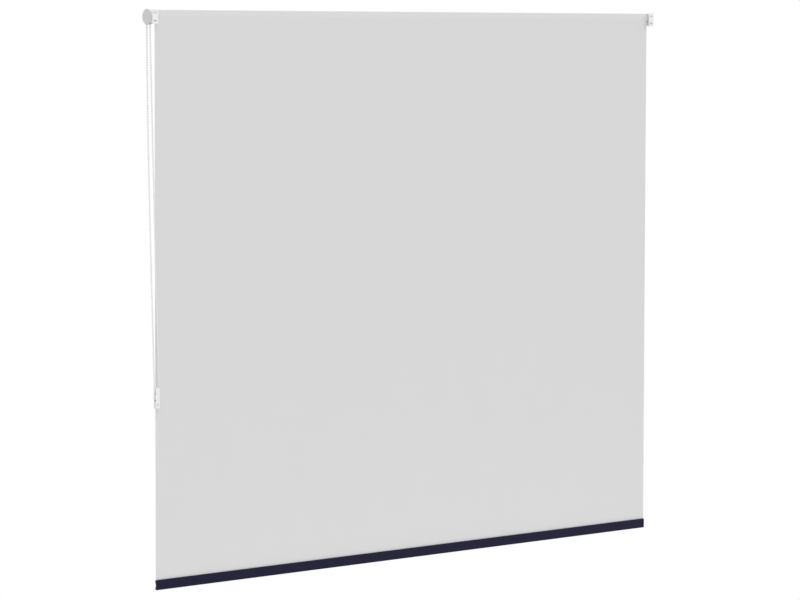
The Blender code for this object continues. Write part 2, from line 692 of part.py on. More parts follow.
def bar_chamber(inset=0.0):
    """The closed chamber under the bar's channel, behind its groove, which the caps' spigots fill."""
    wall = BAR_WALL + inset
    low = (SHEET_Y - BAR_DEPTH / 2 + wall, BAR_BOTTOM + wall)
    high = (SHEET_Y + BAR_DEPTH / 2 - wall, CHAMBER_TOP - inset)
    behind = low[0] + BAR_GROOVE_DEPTH
    step = BAR_BOTTOM + BAR_GROOVE_RISE - wall
    corner = min(BAR_CORNER - wall, (high[0] - behind) / 3, (step - low[1]) / 2)
    upper = box_outline((behind, step), high, corner, 3)
    lower = box_outline(low, high, corner, 3)
    half_way = len(upper) // 2
    return upper[:half_way] + [(behind, step), (low[0], step)] + lower[half_way:]


def bottom_bar():
    """An extruded bar with a keyhole channel for the fabric, two end caps and a spline."""
    end = EDGE - BAR_END_INSET - BAR_CAP_LENGTH - GAP
    channel = (SHEET_Y, BAR_TOP - BAR_WALL - BAR_CHANNEL_RADIUS)
    bar = make("bottom_bar", extruded(bar_outline(), -end, end), NAVY_PAINT)
    cut(bar, extruded(bar_chamber(), -end - GAP, end + GAP))
    groove = rod(-end - GAP, end + GAP, BAR_CHANNEL_RADIUS, steps=24)
    cut(bar, groove, place=(0.0, *channel))
    slit_low = (SHEET_Y - BAR_SLOT / 2, channel[1])
    slit_high = (SHEET_Y + BAR_SLOT / 2, BAR_TOP + GAP)
    slit = box_outline(slit_low, slit_high)
    cut(bar, extruded(slit, -end - GAP, end + GAP))
    make("bar_spline", rod(-end, end, BAR_SPLINE_RADIUS, steps=12), WHITE_PLASTIC, (0.0, *channel))
    for side, name in ((1, "bar_end_cap_chain_side"), (-1, "bar_end_cap_idle_side")):
        inner = side * (end + GAP)
        outer = side * (EDGE - BAR_END_INSET)
        sections = [
            (inner, bar_outline()),
            (outer - side * BAR_CAP_ROUNDING, bar_outline()),
            (outer, bar_outline(BAR_CAP_ROUNDING)),
        ]
        cap = make(name, lofted(sections), NAVY_PLASTIC)
        spigot = extruded(bar_chamber(GAP), inner - side * BAR_CAP_SPIGOT, inner + side * GAP)
        join(cap, spigot)
        cut(cap, extruded(slit, inner - side * GAP, side * (EDGE + 2 * GAP)))


def chain_route():
    """The chain's loop: over the sprocket, down to the tensioner's pulley and back up."""
    wheel = [
        Vector((CHAIN_X, AXIS.y + a, b)) for a, b in arc((0.0, 0.0), PITCH_RADIUS, 180, 0, 12)
    ]
    pulley = [
        Vector((PULLEY_X + a, PULLEY_Y, PULLEY_HEIGHT + b))
        for a, b in arc((0.0, 0.0), PITCH_RADIUS, 180, 360, 12)
    ]
    points = [(point, False) for point in wheel]
    points += strand(wheel[-1], pulley[0], WALL_STRAND_SAG)
    points += [(point, False) for point in pulley]
    points += strand(pulley[-1], wheel[0], ROOM_STRAND_SAG)
    return points


def bow(rise):
    """How far a strand stands off its straight line, from 0 at the wheels to 1 above its middle."""
    peak = STRAND_SAG_POWER / (STRAND_SAG_POWER + 1)
    return (rise / peak) ** STRAND_SAG_POWER * (1 - rise) / (1 - peak)


def strand(start, end, sag):
    """A run of beads that bows a little into the room and narrows to its bare cord at each wheel."""
    whole = (end - start).length
    bare = STRAND_START - BEAD_DIAMETER / 2
    beaded = whole - 2 * STRAND_START
    stops = [(bare, False)]
    for index in range(STRAND_PIECES + 1):
        stops.append((STRAND_START + beaded * index / STRAND_PIECES, True))
    stops.append((whole - bare, False))
    points = []
    for distance, full in stops:
        point = start.lerp(end, distance / whole)
        point.y -= sag * bow(1 - point.z / PULLEY_HEIGHT)
        points.append((point, full))
    return points


def bead_chain():
    """The endless chain, as thick as its beads between the wheels and its bare cord on them."""
    route = chain_route()
    thin = CORD_DIAMETER / BEAD_DIAMETER
    widths = [1.0 if full else thin for _, full in route]
    points = [point for point, _ in route]
    wire("bead_chain", points, BEAD_DIAMETER, CHAIN_PLASTIC, widths=widths, sides=2, cyclic=True)


def tensioner():
    """A pulley block that screws to the wall and holds the chain's loop down."""
    left = PULLEY_X - TENSIONER_WIDTH / 2
    right = PULLEY_X + TENSIONER_WIDTH / 2
    top = PULLEY_HEIGHT + TENSIONER_ABOVE_PULLEY
    bottom = PULLEY_HEIGHT - TENSIONER_BELOW_PULLEY
    outline = box_outline((left, bottom), (right, top), FLANGE_CORNER)
    base = make("tensioner_base", extruded(outline, -TENSIONER_PLATE, 0.0, "Y"), WHITE_PLASTIC)
    boss_top = PULLEY_HEIGHT - PITCH_RADIUS - BEAD_DIAMETER / 2 - 2 * GAP
    boss = box_outline((left + GAP, bottom + GAP), (right - GAP, boss_top), FLANGE_CORNER / 2)
    boss_back = -TENSIONER_PLATE / 2
    join(base, extruded(boss, TENSIONER_FRONT_Y + GAP, boss_back, "Y"))
    hole_height = PULLEY_HEIGHT - TENSIONER_HOLE_DROP
    hole = polygon((PULLEY_X, hole_height), TENSIONER_HOLE / 2, TENSIONER_HOLE_SIDES)
    cut(base, extruded(hole, 2 * TENSIONER_FRONT_Y, TENSIONER_PLATE, "Y"))
    key = slot_outline(
        (PULLEY_X, hole_height + TENSIONER_KEY_RISE / 2),
        TENSIONER_KEY_RISE + TENSIONER_KEY_SLOT,
        TENSIONER_KEY_SLOT,
        upright=True,
    )
    cut(base, extruded(key, -TENSIONER_PLATE - GAP, TENSIONER_PLATE, "Y"))
    front_far = TENSIONER_FRONT_Y - TENSIONER_PLATE
    front = make("tensioner_front", extruded(outline, front_far, TENSIONER_FRONT_Y, "Y"), WHITE_PLASTIC)
    cut(front, extruded(hole, 2 * TENSIONER_FRONT_Y, TENSIONER_PLATE, "Y"))
    on_axle = {"place": (PULLEY_X, 0.0, PULLEY_HEIGHT), "turn": (0.0, 0.0, -math.pi / 2)}
    socket = TENSIONER_PLATE / 2
    cut(base, rod(socket - GAP, -TENSIONER_FRONT_Y, AXLE_RADIUS + GAP, steps=24), **on_axle)
    cut(front, rod(TENSIONER_PLATE, 2 * -front_far, AXLE_RADIUS + GAP, steps=24), **on_axle)
    head = -front_far + GAP
    axle = [
        (socket, 0.0),
        (socket, AXLE_RADIUS),
        (head, AXLE_RADIUS),
        (head, AXLE_HEAD),
        (head + AXLE_HEAD_LENGTH, AXLE_HEAD),
        (head + AXLE_HEAD_LENGTH, 0.0),
    ]
    make("tensioner_axle", turned(axle, steps=24), SPRING_STEEL, **on_axle)
    groove = POCKET_RADIUS
    middle = -PULLEY_Y
    half = PULLEY_WIDTH / 2
    rim = PITCH_RADIUS + BEAD_DIAMETER / 4
    spread = math.degrees(math.acos((rim - PITCH_RADIUS) / groove))
    pulley = [(middle - half, AXLE_RADIUS + GAP), (middle - half, rim)]
    pulley += [
        (middle + a, PITCH_RADIUS + b)
        for a, b in arc((0.0, 0.0), groove, 90 + spread, 450 - spread, 10)
    ]
    pulley += [(middle + half, rim), (middle + half, AXLE_RADIUS + GAP)]
    make("tensioner_pulley", turned(pulley, ring=True, steps=32), WHITE_PLASTIC, **on_axle)


def shade_reshaped_pieces():
    """Keeps flat faces flat to the eye where Boolean modifiers have made them."""
    for piece in bpy.data.objects:
        if piece.modifiers:
            piece.modifiers.new("flat_faces", "WEIGHTED_NORMAL")


def main():
    clear_scene()
    brackets()
    clutch_core()
    clutch_housing()
    clutch_cover()
    chain_sprocket()
    drive_fork()
    wrap_springs()
    drive_hub()
    roller_tube()
    fabric()
    idle_end()
    bottom_bar()
    bead_chain()
    tensioner()
    shade_reshaped_pieces()


main()
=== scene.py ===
"""Looks of the blackout roller blind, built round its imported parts.

Lengths are in metres, named angles in degrees and the camera's sensor in millimetres. The wall is
the plane Y = 0, +X points to the chain end, -Y into the room and +Z up. The camera stands on the
wall side, as in the photograph.
"""

import json
import math

import bmesh
import bpy
from mathutils import Matrix, Vector

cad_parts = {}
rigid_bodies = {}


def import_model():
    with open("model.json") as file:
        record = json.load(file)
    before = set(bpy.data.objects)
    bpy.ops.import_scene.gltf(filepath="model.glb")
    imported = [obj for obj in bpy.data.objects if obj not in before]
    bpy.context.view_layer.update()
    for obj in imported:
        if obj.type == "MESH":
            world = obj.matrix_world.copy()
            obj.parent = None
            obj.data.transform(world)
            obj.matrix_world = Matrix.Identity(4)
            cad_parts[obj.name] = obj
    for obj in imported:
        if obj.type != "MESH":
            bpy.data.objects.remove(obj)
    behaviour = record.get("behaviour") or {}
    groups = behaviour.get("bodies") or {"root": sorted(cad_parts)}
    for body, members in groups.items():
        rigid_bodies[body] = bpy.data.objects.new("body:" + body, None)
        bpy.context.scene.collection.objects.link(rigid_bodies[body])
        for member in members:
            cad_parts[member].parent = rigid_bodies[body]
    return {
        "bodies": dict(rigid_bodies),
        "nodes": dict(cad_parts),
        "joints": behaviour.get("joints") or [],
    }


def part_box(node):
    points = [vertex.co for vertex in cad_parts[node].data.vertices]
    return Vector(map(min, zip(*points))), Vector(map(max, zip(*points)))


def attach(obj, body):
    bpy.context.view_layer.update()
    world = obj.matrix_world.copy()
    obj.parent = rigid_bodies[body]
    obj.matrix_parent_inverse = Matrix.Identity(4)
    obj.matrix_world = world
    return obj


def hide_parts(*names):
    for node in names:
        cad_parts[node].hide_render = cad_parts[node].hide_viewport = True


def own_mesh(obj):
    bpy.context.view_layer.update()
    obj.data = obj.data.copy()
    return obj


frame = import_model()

for item in set(bpy.data.objects) - set(frame["nodes"].values()) - set(frame["bodies"].values()):
    bpy.data.objects.remove(item)
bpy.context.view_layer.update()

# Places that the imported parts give
JOINTS = {joint["name"]: joint for joint in frame["joints"]}
AXIS = Vector(JOINTS["roller_turn"]["pos_m"])
PULLEY = Vector(JOINTS["pulley_turn"]["pos_m"])
SHEET_LOW, SHEET_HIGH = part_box("fabric_sheet")
EDGE = SHEET_HIGH.x
ROLL_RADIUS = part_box("fabric_roll")[1].z
SHELL_LOW, SHELL_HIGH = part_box("clutch_housing")
CLUTCH_RADIUS = SHELL_HIGH.z
DISC_LOW, DISC_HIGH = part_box("clutch_cover")
BAR_LOW, BAR_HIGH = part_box("bottom_bar")
BASE_LOW, BASE_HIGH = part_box("tensioner_base")
FRONT_LOW, FRONT_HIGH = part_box("tensioner_front")
SPRING_LOW, SPRING_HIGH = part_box("idle_pin_spring")

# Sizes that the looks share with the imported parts
GAP = 0.0003
FABRIC_THICKNESS = 0.00045
SHEET_Y = SHEET_HIGH.y - FABRIC_THICKNESS / 2
STEEL_THICKNESS = 0.0018
STEEL_BEND_RADIUS = 0.0008
FLANGE_CORNER = 0.002
ARM_SHOULDER = 0.012
SLOT_LENGTH = 0.010
SLOT_WIDTH = 0.004
SLOT_OFFSET = 0.009
GUSSET_REACH = 0.008
GUSSET_THICKNESS = 0.002
CLUTCH_KEY_HALF_WIDTH = 0.007
PIN_HOLE_RADIUS = 0.0033
BEAD_RADIUS = 0.00225
BEAD_PITCH = 0.006
PITCH_RADIUS = 0.006
SPROCKET_POCKETS = 6
CORD_RADIUS = 0.0007
WHEEL_WIDTH = 0.0054
SHELL_WALL = 0.0012
SHELL_BACK = 0.0008
SHELL_BORE_RADIUS = 0.0123
MOUTH_MARGIN = 0.0025
DISC_THICKNESS = 0.0012
DISC_ROUNDING = 0.0008
DISC_GROOVE_RADII = (0.0134, 0.0052)
DISC_GROOVE_WIDTH = 0.0011
DISC_GROOVE_DEPTH = 0.0005
DISC_BOSS_RADIUS = 0.003
DISC_PIN_RADIUS = 0.002
BAR_WALL = 0.0012
BAR_CORNER = 0.0028
BAR_SLOT_WIDTH = 0.0014
BAR_GROOVE_DEPTH = 0.002
BAR_GROOVE_SLOPE = 0.0006
BAR_GROOVE_RISE = 0.0055
BAR_GROOVE_DROP = 0.0081
BAR_CHANNEL_RADIUS = 0.0022
CAP_SPIGOT_LENGTH = 0.012
CAP_ROUNDING = 0.0009
PIN_SPRING_WIRE = 0.0006
PIN_SPRING_TURNS = 7
TENSIONER_HOLE_WIDTH = 0.0035
TENSIONER_HOLE_DROP = 0.018
TENSIONER_KEY_WIDTH = 0.0022
TENSIONER_KEY_RISE = 0.005
AXLE_HOLE_RADIUS = 0.0019
ROOM_STRAND_SAG = 0.004
WALL_STRAND_SAG = 0.0006
STRAND_SAG_POWER = 1.5

# Finer forms that only the looks have
EDGE_ROUNDING = 0.00025
GROOVE_ROUNDING = 0.0004
PIN_SPRING_END_PITCH = 0.0007
BEAD_COLLAR_RADIUS = 0.00095
BEAD_COLLAR_TAPER = 0.85
BEAD_COLLAR_REACH = 0.0024
LAST_TURN_ANGLE = 354.0
LAST_TURN_TUCK = 0.0001
RIPPLE_HEIGHT = 0.00025
RIPPLE_LONG_WAVE = 0.83
RIPPLE_LONG_START = 0.6
RIPPLE_SHORT_WAVE = 0.47
RIPPLE_SHORT_START = 2.2
RIPPLE_SHORT_SHARE = 0.6
EDGE_CUP_SHARE = 1.5
EDGE_CUP_REACH = 0.012

# How finely round forms are divided
TURN_STEPS = 96
ROLL_STEPS = 160
ROUND_END_STEPS = 48
HOLE_STEPS = 32
BEAD_STEPS = 16
SLOT_END_STEPS = 16
OUTER_BEND_STEPS = 14
CORNER_STEPS = 10
DISC_EDGE_STEPS = 8
BAR_EDGE_STEPS = 6
BEAD_PROFILE_STEPS = 9
CORD_STEPS = 4
PIN_SPRING_STEPS = 28
PIN_SPRING_SIDES = 10
SHEET_COLUMNS = 96
SHEET_ROWS = 90

# Limits of the mesh work
SHARP_ANGLE = 40.0
SOFTENED_SHARE = 1 / 2.2
MERGE_DISTANCE = 1e-6

# Camera, fitted to the photograph's edges and corners
IMAGE_WIDTH = 800
SENSOR_WIDTH = 36.0
FOCAL_PIXELS = 3324.8
FRAMING_SHIFT_PIXELS = -60
CAMERA_PLACE = Vector((5.098, 6.008, -0.041))
CAMERA_AZIMUTH = 140.025
CAMERA_PITCH = 3.517
CAMERA_ROLL = 0.127

# Light
WORLD_LEVEL = 0.72
KEY_LEVEL = 0.92
KEY_FROM = Vector((0.25, 0.85, 0.45))
FILL_LEVEL = 0.85
FILL_FROM = Vector((-0.25, -0.85, 0.45))
SOFT_SUN_ANGLE = 50.0
FLOOR_HEIGHT = -1.75
FLOOR_RADIUS = 1.6
FLOOR_FADE_START = 0.55
FLOOR_FADE_END = 0.98
FLOOR_COLOUR = 0.9

# Colours
FABRIC_COLOUR = (0.694, 0.694, 0.694)
PAINT_COLOUR = (0.850, 0.850, 0.850)
WHITE_COLOUR = (0.850, 0.850, 0.840)
GREY_COLOUR = (0.700, 0.700, 0.700)
BEAD_COLOUR = (0.800, 0.800, 0.795)
NAVY_COLOUR = (0.0080, 0.0075, 0.0292)
CAP_COLOUR = (0.0085, 0.0065, 0.0255)
ALUMINIUM_COLOUR = (0.74, 0.75, 0.76)
SPRING_COLOUR = (0.62, 0.63, 0.65)

# Patterns of the materials, and the part of a noise's range that most of its values lie in
THREAD_PITCH = 0.0012
BRAID_PITCH = 0.0008
NOISE_LOW = 0.3
NOISE_HIGH = 0.7


class Look:
    """A procedural material: a Principled shader with colour, roughness and bump built on it.

    The sizes of its patterns are in metres.
    """

    def __init__(self, name, colour, roughness, metallic=0.0, specular=0.5):
        self.material = bpy.data.materials.new(name)
        self.material.use_nodes = True
        self.tree = self.material.node_tree
        self.shader = self.tree.nodes["Principled BSDF"]
        self.shader.inputs["Roughness"].default_value = roughness
        self.shader.inputs["Metallic"].default_value = metallic
        self.shader.inputs["Specular IOR Level"].default_value = specular
        self.place = self.node("ShaderNodeTexCoord").outputs["Object"]
        self.colour = self.node("ShaderNodeRGB").outputs[0]
        self.colour.default_value = (*colour, 1.0)
        self.link(self.colour, self.shader.inputs["Base Color"])
        self.normal = None

    def node(self, kind, **settings):
        made = self.tree.nodes.new(kind)
        for key, value in settings.items():
            setattr(made, key, value)
        return made

    def link(self, output, socket):
        self.tree.links.new(output, socket)

    def maths(self, operation, *values):
        made = self.node("ShaderNodeMath", operation=operation)
        for socket, value in zip(made.inputs, values):
            if isinstance(value, (int, float)):
                socket.default_value = value
            else:
                self.link(value, socket)
        return made.outputs[0]

    def noise(self, grain, detail=2.0, stretch=(1.0, 1.0, 1.0)):
        """Noise whose features are about a grain across, longer along a stretched axis."""
        scaled = self.node("ShaderNodeMapping")
        scaled.inputs["Scale"].default_value = [1.0 / (grain * along) for along in stretch]
        self.link(self.place, scaled.inputs["Vector"])
        texture = self.node("ShaderNodeTexNoise")
        texture.inputs["Scale"].default_value = 1.0
        texture.inputs["Detail"].default_value = detail
        self.link(scaled.outputs[0], texture.inputs["Vector"])
        return texture.outputs["Fac"]

    def spread(self, value, low, high):
        """Maps the middle of a noise's range to low and high."""
        ranged = self.node("ShaderNodeMapRange")
        ranged.inputs["From Min"].default_value = NOISE_LOW
        ranged.inputs["From Max"].default_value = NOISE_HIGH
        ranged.inputs["To Min"].default_value = low
        ranged.inputs["To Max"].default_value = high
        self.link(value, ranged.inputs["Value"])
        return ranged.outputs["Result"]

    def shade_colour(self, value, low, high):
        """Darkens and lightens the colour with a pattern."""
        mixed = self.node("ShaderNodeVectorMath", operation="SCALE")
        self.link(self.colour, mixed.inputs[0])
        self.link(self.spread(value, low, high), mixed.inputs["Scale"])
        self.colour = mixed.outputs[0]
        self.link(self.colour, self.shader.inputs["Base Color"])

    def vary_roughness(self, value, low, high):
        self.link(self.spread(value, low, high), self.shader.inputs["Roughness"])

    def bump(self, height, depth, strength=1.0):
        """Adds relief of a given depth, over what is there already."""
        relief = self.node("ShaderNodeBump")
        relief.inputs["Distance"].default_value = depth
        relief.inputs["Strength"].default_value = strength
        self.link(height, relief.inputs["Height"])
        if self.normal is not None:
            self.link(self.normal, relief.inputs["Normal"])
        self.normal = relief.outputs["Normal"]
        self.link(self.normal, self.shader.inputs["Normal"])

    def glow_through(self, weight, radius):
        """Lets light pass into the material, as far as a radius."""
        self.shader.inputs["Subsurface Weight"].default_value = weight
        self.shader.inputs["Subsurface Radius"].default_value = (radius, radius, radius)
        self.shader.inputs["Subsurface Scale"].default_value = 1.0

    def wave(self, axis, pitch):
        """A sine along one axis."""
        split = self.node("ShaderNodeSeparateXYZ")
        self.link(self.place, split.inputs[0])
        return self.maths("SINE", self.maths("MULTIPLY", split.outputs[axis], math.tau / pitch))

    def weave(self, pitch, across="X", up="Z"):
        """A plain weave from 0 to 1: every other crossing of two threads stands up."""
        crossings = self.maths("MULTIPLY", self.wave(across, pitch), self.wave(up, pitch))
        return self.maths("MULTIPLY_ADD", crossings, 0.5, 0.5)


def coated_fabric():
    """The smooth light grey coating on the wall side of the fabric."""
    look = Look("fabric_coating", FABRIC_COLOUR, roughness=0.7, specular=0.3)
    look.shader.inputs["Sheen Weight"].default_value = 0.03
    look.shade_colour(look.noise(grain=0.08, detail=4.0, stretch=(1.0, 1.0, 1.6)), 0.997, 1.003)
    look.shade_colour(look.noise(grain=0.0005), 0.975, 1.022)
    look.vary_roughness(look.noise(grain=0.004, detail=3.0), 0.64, 0.78)
    look.bump(look.noise(grain=0.0006, detail=3.0), depth=0.00006)
    look.bump(look.weave(THREAD_PITCH), depth=0.00003, strength=0.6)
    return look.material


def woven_fabric():
    """The woven side of the fabric, towards the room."""
    look = Look("fabric_weave", FABRIC_COLOUR, roughness=0.88, specular=0.25)
    look.shader.inputs["Sheen Weight"].default_value = 0.06
    threads = look.weave(THREAD_PITCH)
    look.shade_colour(threads, 0.94, 1.03)
    for stretch in ((1.0, 1.0, 60.0), (60.0, 1.0, 1.0)):
        look.shade_colour(look.noise(grain=0.0008, detail=3.0, stretch=stretch), 0.965, 1.03)
    look.bump(threads, depth=0.00012)
    look.bump(look.noise(grain=0.0009, stretch=(1.0, 1.0, 30.0)), depth=0.00005, strength=0.6)
    return look.material


def powder_coat(name, colour, roughness):
    """Paint with a fine orange peel."""
    look = Look(name, colour, roughness)
    look.shade_colour(look.noise(grain=0.012, detail=4.0), 0.98, 1.015)
    look.vary_roughness(look.noise(grain=0.003, detail=3.0), roughness - 0.05, roughness + 0.06)
    look.bump(look.noise(grain=0.0011), depth=0.00004, strength=0.5)
    look.bump(look.noise(grain=0.0003), depth=0.00001, strength=0.4)
    return look.material


def moulded(name, colour, roughness, specular=0.5, glow=0.0):
    """Plastic with the fine grain of its mould; light passes a little way into the white one."""
    look = Look(name, colour, roughness, specular=specular)
    look.glow_through(glow, radius=0.0015)
    look.shade_colour(look.noise(grain=0.009, detail=3.0), 0.99, 1.01)
    look.vary_roughness(look.noise(grain=0.0008, detail=3.0), roughness - 0.06, roughness + 0.06)
    look.bump(look.noise(grain=0.00035), depth=0.00003)
    return look.material


def bead_plastic():
    """Bright polyester beads, a little uneven from bead to bead."""
    look = Look("chain_bead_plastic", BEAD_COLOUR, roughness=0.3)
    look.glow_through(0.08, radius=0.002)
    look.shade_colour(look.noise(grain=0.009, detail=1.0), 0.96, 1.03)
    look.vary_roughness(look.noise(grain=0.006, detail=1.0), 0.24, 0.38)
    look.bump(look.noise(grain=0.0012), depth=0.00003, strength=0.4)
    return look.material


def braided_cord():
    """The thin polyester cord that carries the beads."""
    look = Look("chain_cord_fibre", BEAD_COLOUR, roughness=0.75, specular=0.3)
    look.shade_colour(look.noise(grain=0.0005, detail=3.0, stretch=(1.0, 1.0, 3.0)), 0.88, 1.02)
    look.bump(look.weave(BRAID_PITCH, "Y"), depth=0.00008, strength=0.7)
    return look.material


def bar_paint():
    """Dark navy satin paint over faint extrusion lines."""
    look = Look("bar_navy_paint", NAVY_COLOUR, roughness=0.44, specular=0.14)
    look.shade_colour(look.noise(grain=0.02, detail=4.0, stretch=(4.0, 1.0, 1.0)), 0.96, 1.04)
    look.vary_roughness(look.noise(grain=0.001, detail=3.0), 0.4, 0.5)
    lines = look.noise(grain=0.0007, detail=3.0, stretch=(300.0, 1.0, 1.0))
    look.bump(lines, depth=0.00001, strength=0.3)
    look.bump(look.noise(grain=0.0004), depth=0.00002)
    return look.material


def drawn_metal(name, colour, roughness, stretch):
    """Bare metal with the fine lines of how it was drawn or rolled."""
    look = Look(name, colour, roughness, metallic=1.0)
    look.shade_colour(look.noise(grain=0.004, detail=4.0, stretch=stretch), 0.93, 1.05)
    uneven = look.noise(grain=0.0008, detail=3.0, stretch=stretch)
    look.vary_roughness(uneven, roughness - 0.08, roughness + 0.1)
    look.bump(look.noise(grain=0.0004, detail=3.0, stretch=stretch), depth=0.000008, strength=0.5)
    return look.material


COATING = coated_fabric()
WEAVE = woven_fabric()
PAINT = powder_coat("bracket_powder_coat", PAINT_COLOUR, roughness=0.4)
WHITE = moulded("moulded_white", WHITE_COLOUR, roughness=0.42, glow=0.15)
GREY = moulded("moulded_grey", GREY_COLOUR, roughness=0.45)
CAP_NAVY = moulded("moulded_navy", CAP_COLOUR, roughness=0.45, specular=0.16)
BEADS = bead_plastic()
CORD = braided_cord()
NAVY = bar_paint()
STEEL_WIRE = drawn_metal("spring_wire", SPRING_COLOUR, roughness=0.28, stretch=(1.0, 4.0, 4.0))
MILL_METAL = drawn_metal("mill_aluminium", ALUMINIUM_COLOUR, roughness=0.36, stretch=(80.0, 1.0, 1.0))


def around(centre, radius, angle):
    """The point of a circle at an angle in degrees."""
    turn = math.radians(angle)
    return (centre[0] + radius * math.cos(turn), centre[1] + radius * math.sin(turn))


def arc(centre, radius, start, end, steps=CORNER_STEPS):
    """Points along an arc, with its angles in degrees."""
    return [around(centre, radius, start + (end - start) * i / steps) for i in range(steps + 1)]


def box_outline(low, high, corner=0.0, steps=CORNER_STEPS):
    """A rectangle between two corners, with round corners if a radius is given."""
    if not corner:
        return [low, (high[0], low[1]), high, (low[0], high[1])]
    points = arc((high[0] - corner, high[1] - corner), corner, 0, 90, steps)
    points += arc((low[0] + corner, high[1] - corner), corner, 90, 180, steps)
    points += arc((low[0] + corner, low[1] + corner), corner, 180, 270, steps)
    points += arc((high[0] - corner, low[1] + corner), corner, 270, 360, steps)
    return points


def slot_outline(centre, length, width, upright=False):
    """A slot with round ends, lying or upright."""
    half = (length - width) / 2
    shift = (0.0, half) if upright else (half, 0.0)
    first = (centre[0] + shift[0], centre[1] + shift[1])
    second = (centre[0] - shift[0], centre[1] - shift[1])
    start = 0 if upright else -90
    points = arc(first, width / 2, start, start + 180, SLOT_END_STEPS)
    return points + arc(second, width / 2, start + 180, start + 360, SLOT_END_STEPS)


def polygon(centre, radius, sides):
    """A closed outline with its corners on a circle."""
    return arc(centre, radius, 0, 360, sides)[:-1]


def hexagon(centre, half_width):
    """A six-sided outline, given half its width across the flats."""
    return polygon(centre, half_width / math.cos(math.pi / 6), 6)


def softened(profile, radius):
    """Rounds every corner of a profile, but not its two ends, by a small radius."""
    points = [Vector(point) for point in profile]
    rounded = [points[0]]
    for before, corner, after in zip(points, points[1:], points[2:]):
        shorter = min((before - corner).length, (after - corner).length)
        reach = min(radius, SOFTENED_SHARE * shorter)
        start = corner + (before - corner).normalized() * reach
        end = corner + (after - corner).normalized() * reach
        rounded += [start, (start + end + 2 * corner) / 4, end]
    return rounded + [points[-1]]


def spot(first, second, along, axis):
    """A point from its two coordinates in a section and its distance along an axis."""
    return {
        "X": Vector((along, first, second)),
        "Y": Vector((first, along, second)),
        "Z": Vector((first, second, along)),
    }[axis]


def extruded(outline, start, end, axis="X", shape=None):
    """A flat outline pulled along one axis into a closed solid."""
    shape = shape or bmesh.new()
    corners = [shape.verts.new(spot(a, b, start, axis)) for a, b in outline]
    face = shape.faces.new(corners)
    pulled = bmesh.ops.extrude_face_region(shape, geom=[face])["geom"]
    moved = [item for item in pulled if isinstance(item, bmesh.types.BMVert)]
    bmesh.ops.translate(shape, verts=moved, vec=spot(0.0, 0.0, end - start, axis))
    return shape


def lofted(sections):
    """A closed solid through outlines with equal numbers of points."""
    shape = bmesh.new()
    rings = [[shape.verts.new(point) for point in section] for section in sections]
    for ring, following in zip(rings, rings[1:]):
        for index, vertex in enumerate(ring):
            after = (index + 1) % len(ring)
            shape.faces.new((vertex, ring[after], following[after], following[index]))
    shape.faces.new(rings[0])
    shape.faces.new(rings[-1])
    return shape


def turned(profile, ring=False, steps=TURN_STEPS):
    """A profile of (along, radius) points spun round the X axis; a ring's profile is a loop."""
    shape = bmesh.new()
    points = [shape.verts.new((along, 0.0, radius)) for along, radius in profile]
    pairs = list(zip(points, points[1:]))
    if ring:
        pairs.append((points[-1], points[0]))
    edges = [shape.edges.new(pair) for pair in pairs]
    bmesh.ops.spin(
        shape,
        geom=points + edges,
        cent=(0.0, 0.0, 0.0),
        axis=(1.0, 0.0, 0.0),
        angle=math.tau,
        steps=steps,
        use_merge=True,
    )
    bmesh.ops.remove_doubles(shape, verts=shape.verts, dist=MERGE_DISTANCE)
    return shape


def rod(start, end, radius):
    """A round solid along the X axis, to cut a hole with."""
    profile = [(start, 0.0), (start, radius), (end, radius), (end, 0.0)]
    return turned(profile, steps=HOLE_STEPS)


def add(name, shape, place=(0.0, 0.0, 0.0), turn=0.0):
    """Turns a bmesh into an object, at a place and turned about the upright axis."""
    bmesh.ops.recalc_face_normals(shape, faces=shape.faces)
    bmesh.ops.transform(shape, matrix=Matrix.Rotation(turn, 4, "Z"), verts=shape.verts)
    bmesh.ops.translate(shape, verts=shape.verts, vec=place)
    mesh = bpy.data.meshes.new(name)
    shape.to_mesh(mesh)
    shape.free()
    piece = bpy.data.objects.new(name, mesh)
    bpy.context.collection.objects.link(piece)
    return piece


def combine(piece, shape, operation, place=(0.0, 0.0, 0.0), turn=0.0):
    """Cuts, joins or limits a piece with a second shape."""
    guide = add(f"{piece.name}_guide", shape, place, turn)
    modifier = piece.modifiers.new(operation.lower(), "BOOLEAN")
    modifier.operation = operation
    modifier.solver = "EXACT"
    modifier.object = guide


def cut(piece, shape, **where):
    combine(piece, shape, "DIFFERENCE", **where)


def join(piece, shape):
    combine(piece, shape, "UNION")


def make_final(piece, rounding=0.0, sharp=SHARP_ANGLE):
    """Makes a piece's cuts and joins final and rounds its outer edges."""
    guides = [modifier.object for modifier in piece.modifiers if modifier.type == "BOOLEAN"]
    seen = piece.evaluated_get(bpy.context.evaluated_depsgraph_get())
    mesh = bpy.data.meshes.new_from_object(seen)
    piece.modifiers.clear()
    piece.data = mesh
    for guide in guides:
        bpy.data.objects.remove(guide)
    if not rounding:
        return
    steep = math.radians(sharp)
    shape = bmesh.new()
    shape.from_mesh(mesh)
    edges = [edge for edge in shape.edges if edge.is_convex and edge.calc_face_angle(0.0) > steep]
    bmesh.ops.bevel(
        shape,
        geom=edges,
        offset=rounding,
        offset_type="OFFSET",
        segments=2,
        profile=0.5,
        affect="EDGES",
    )
    shape.to_mesh(mesh)
    shape.free()


def settle(piece, rounding=0.0, sharp=SHARP_ANGLE):
    """Makes a piece final, with its outer edges rounded, and shades it smooth."""
    make_final(piece, rounding, sharp)
    piece.data.shade_smooth()
    piece.data.set_sharp_from_angle(angle=math.radians(sharp))
    even = piece.modifiers.new("even_faces", "WEIGHTED_NORMAL")
    even.keep_sharp = True
    return piece


def dress(piece, look, body, slot, *nodes):
    """Gives a piece its material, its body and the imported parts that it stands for."""
    piece.data.materials.clear()
    piece.data.materials.append(look)
    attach(piece, body)
    if nodes:
        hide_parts(*nodes)
    return piece


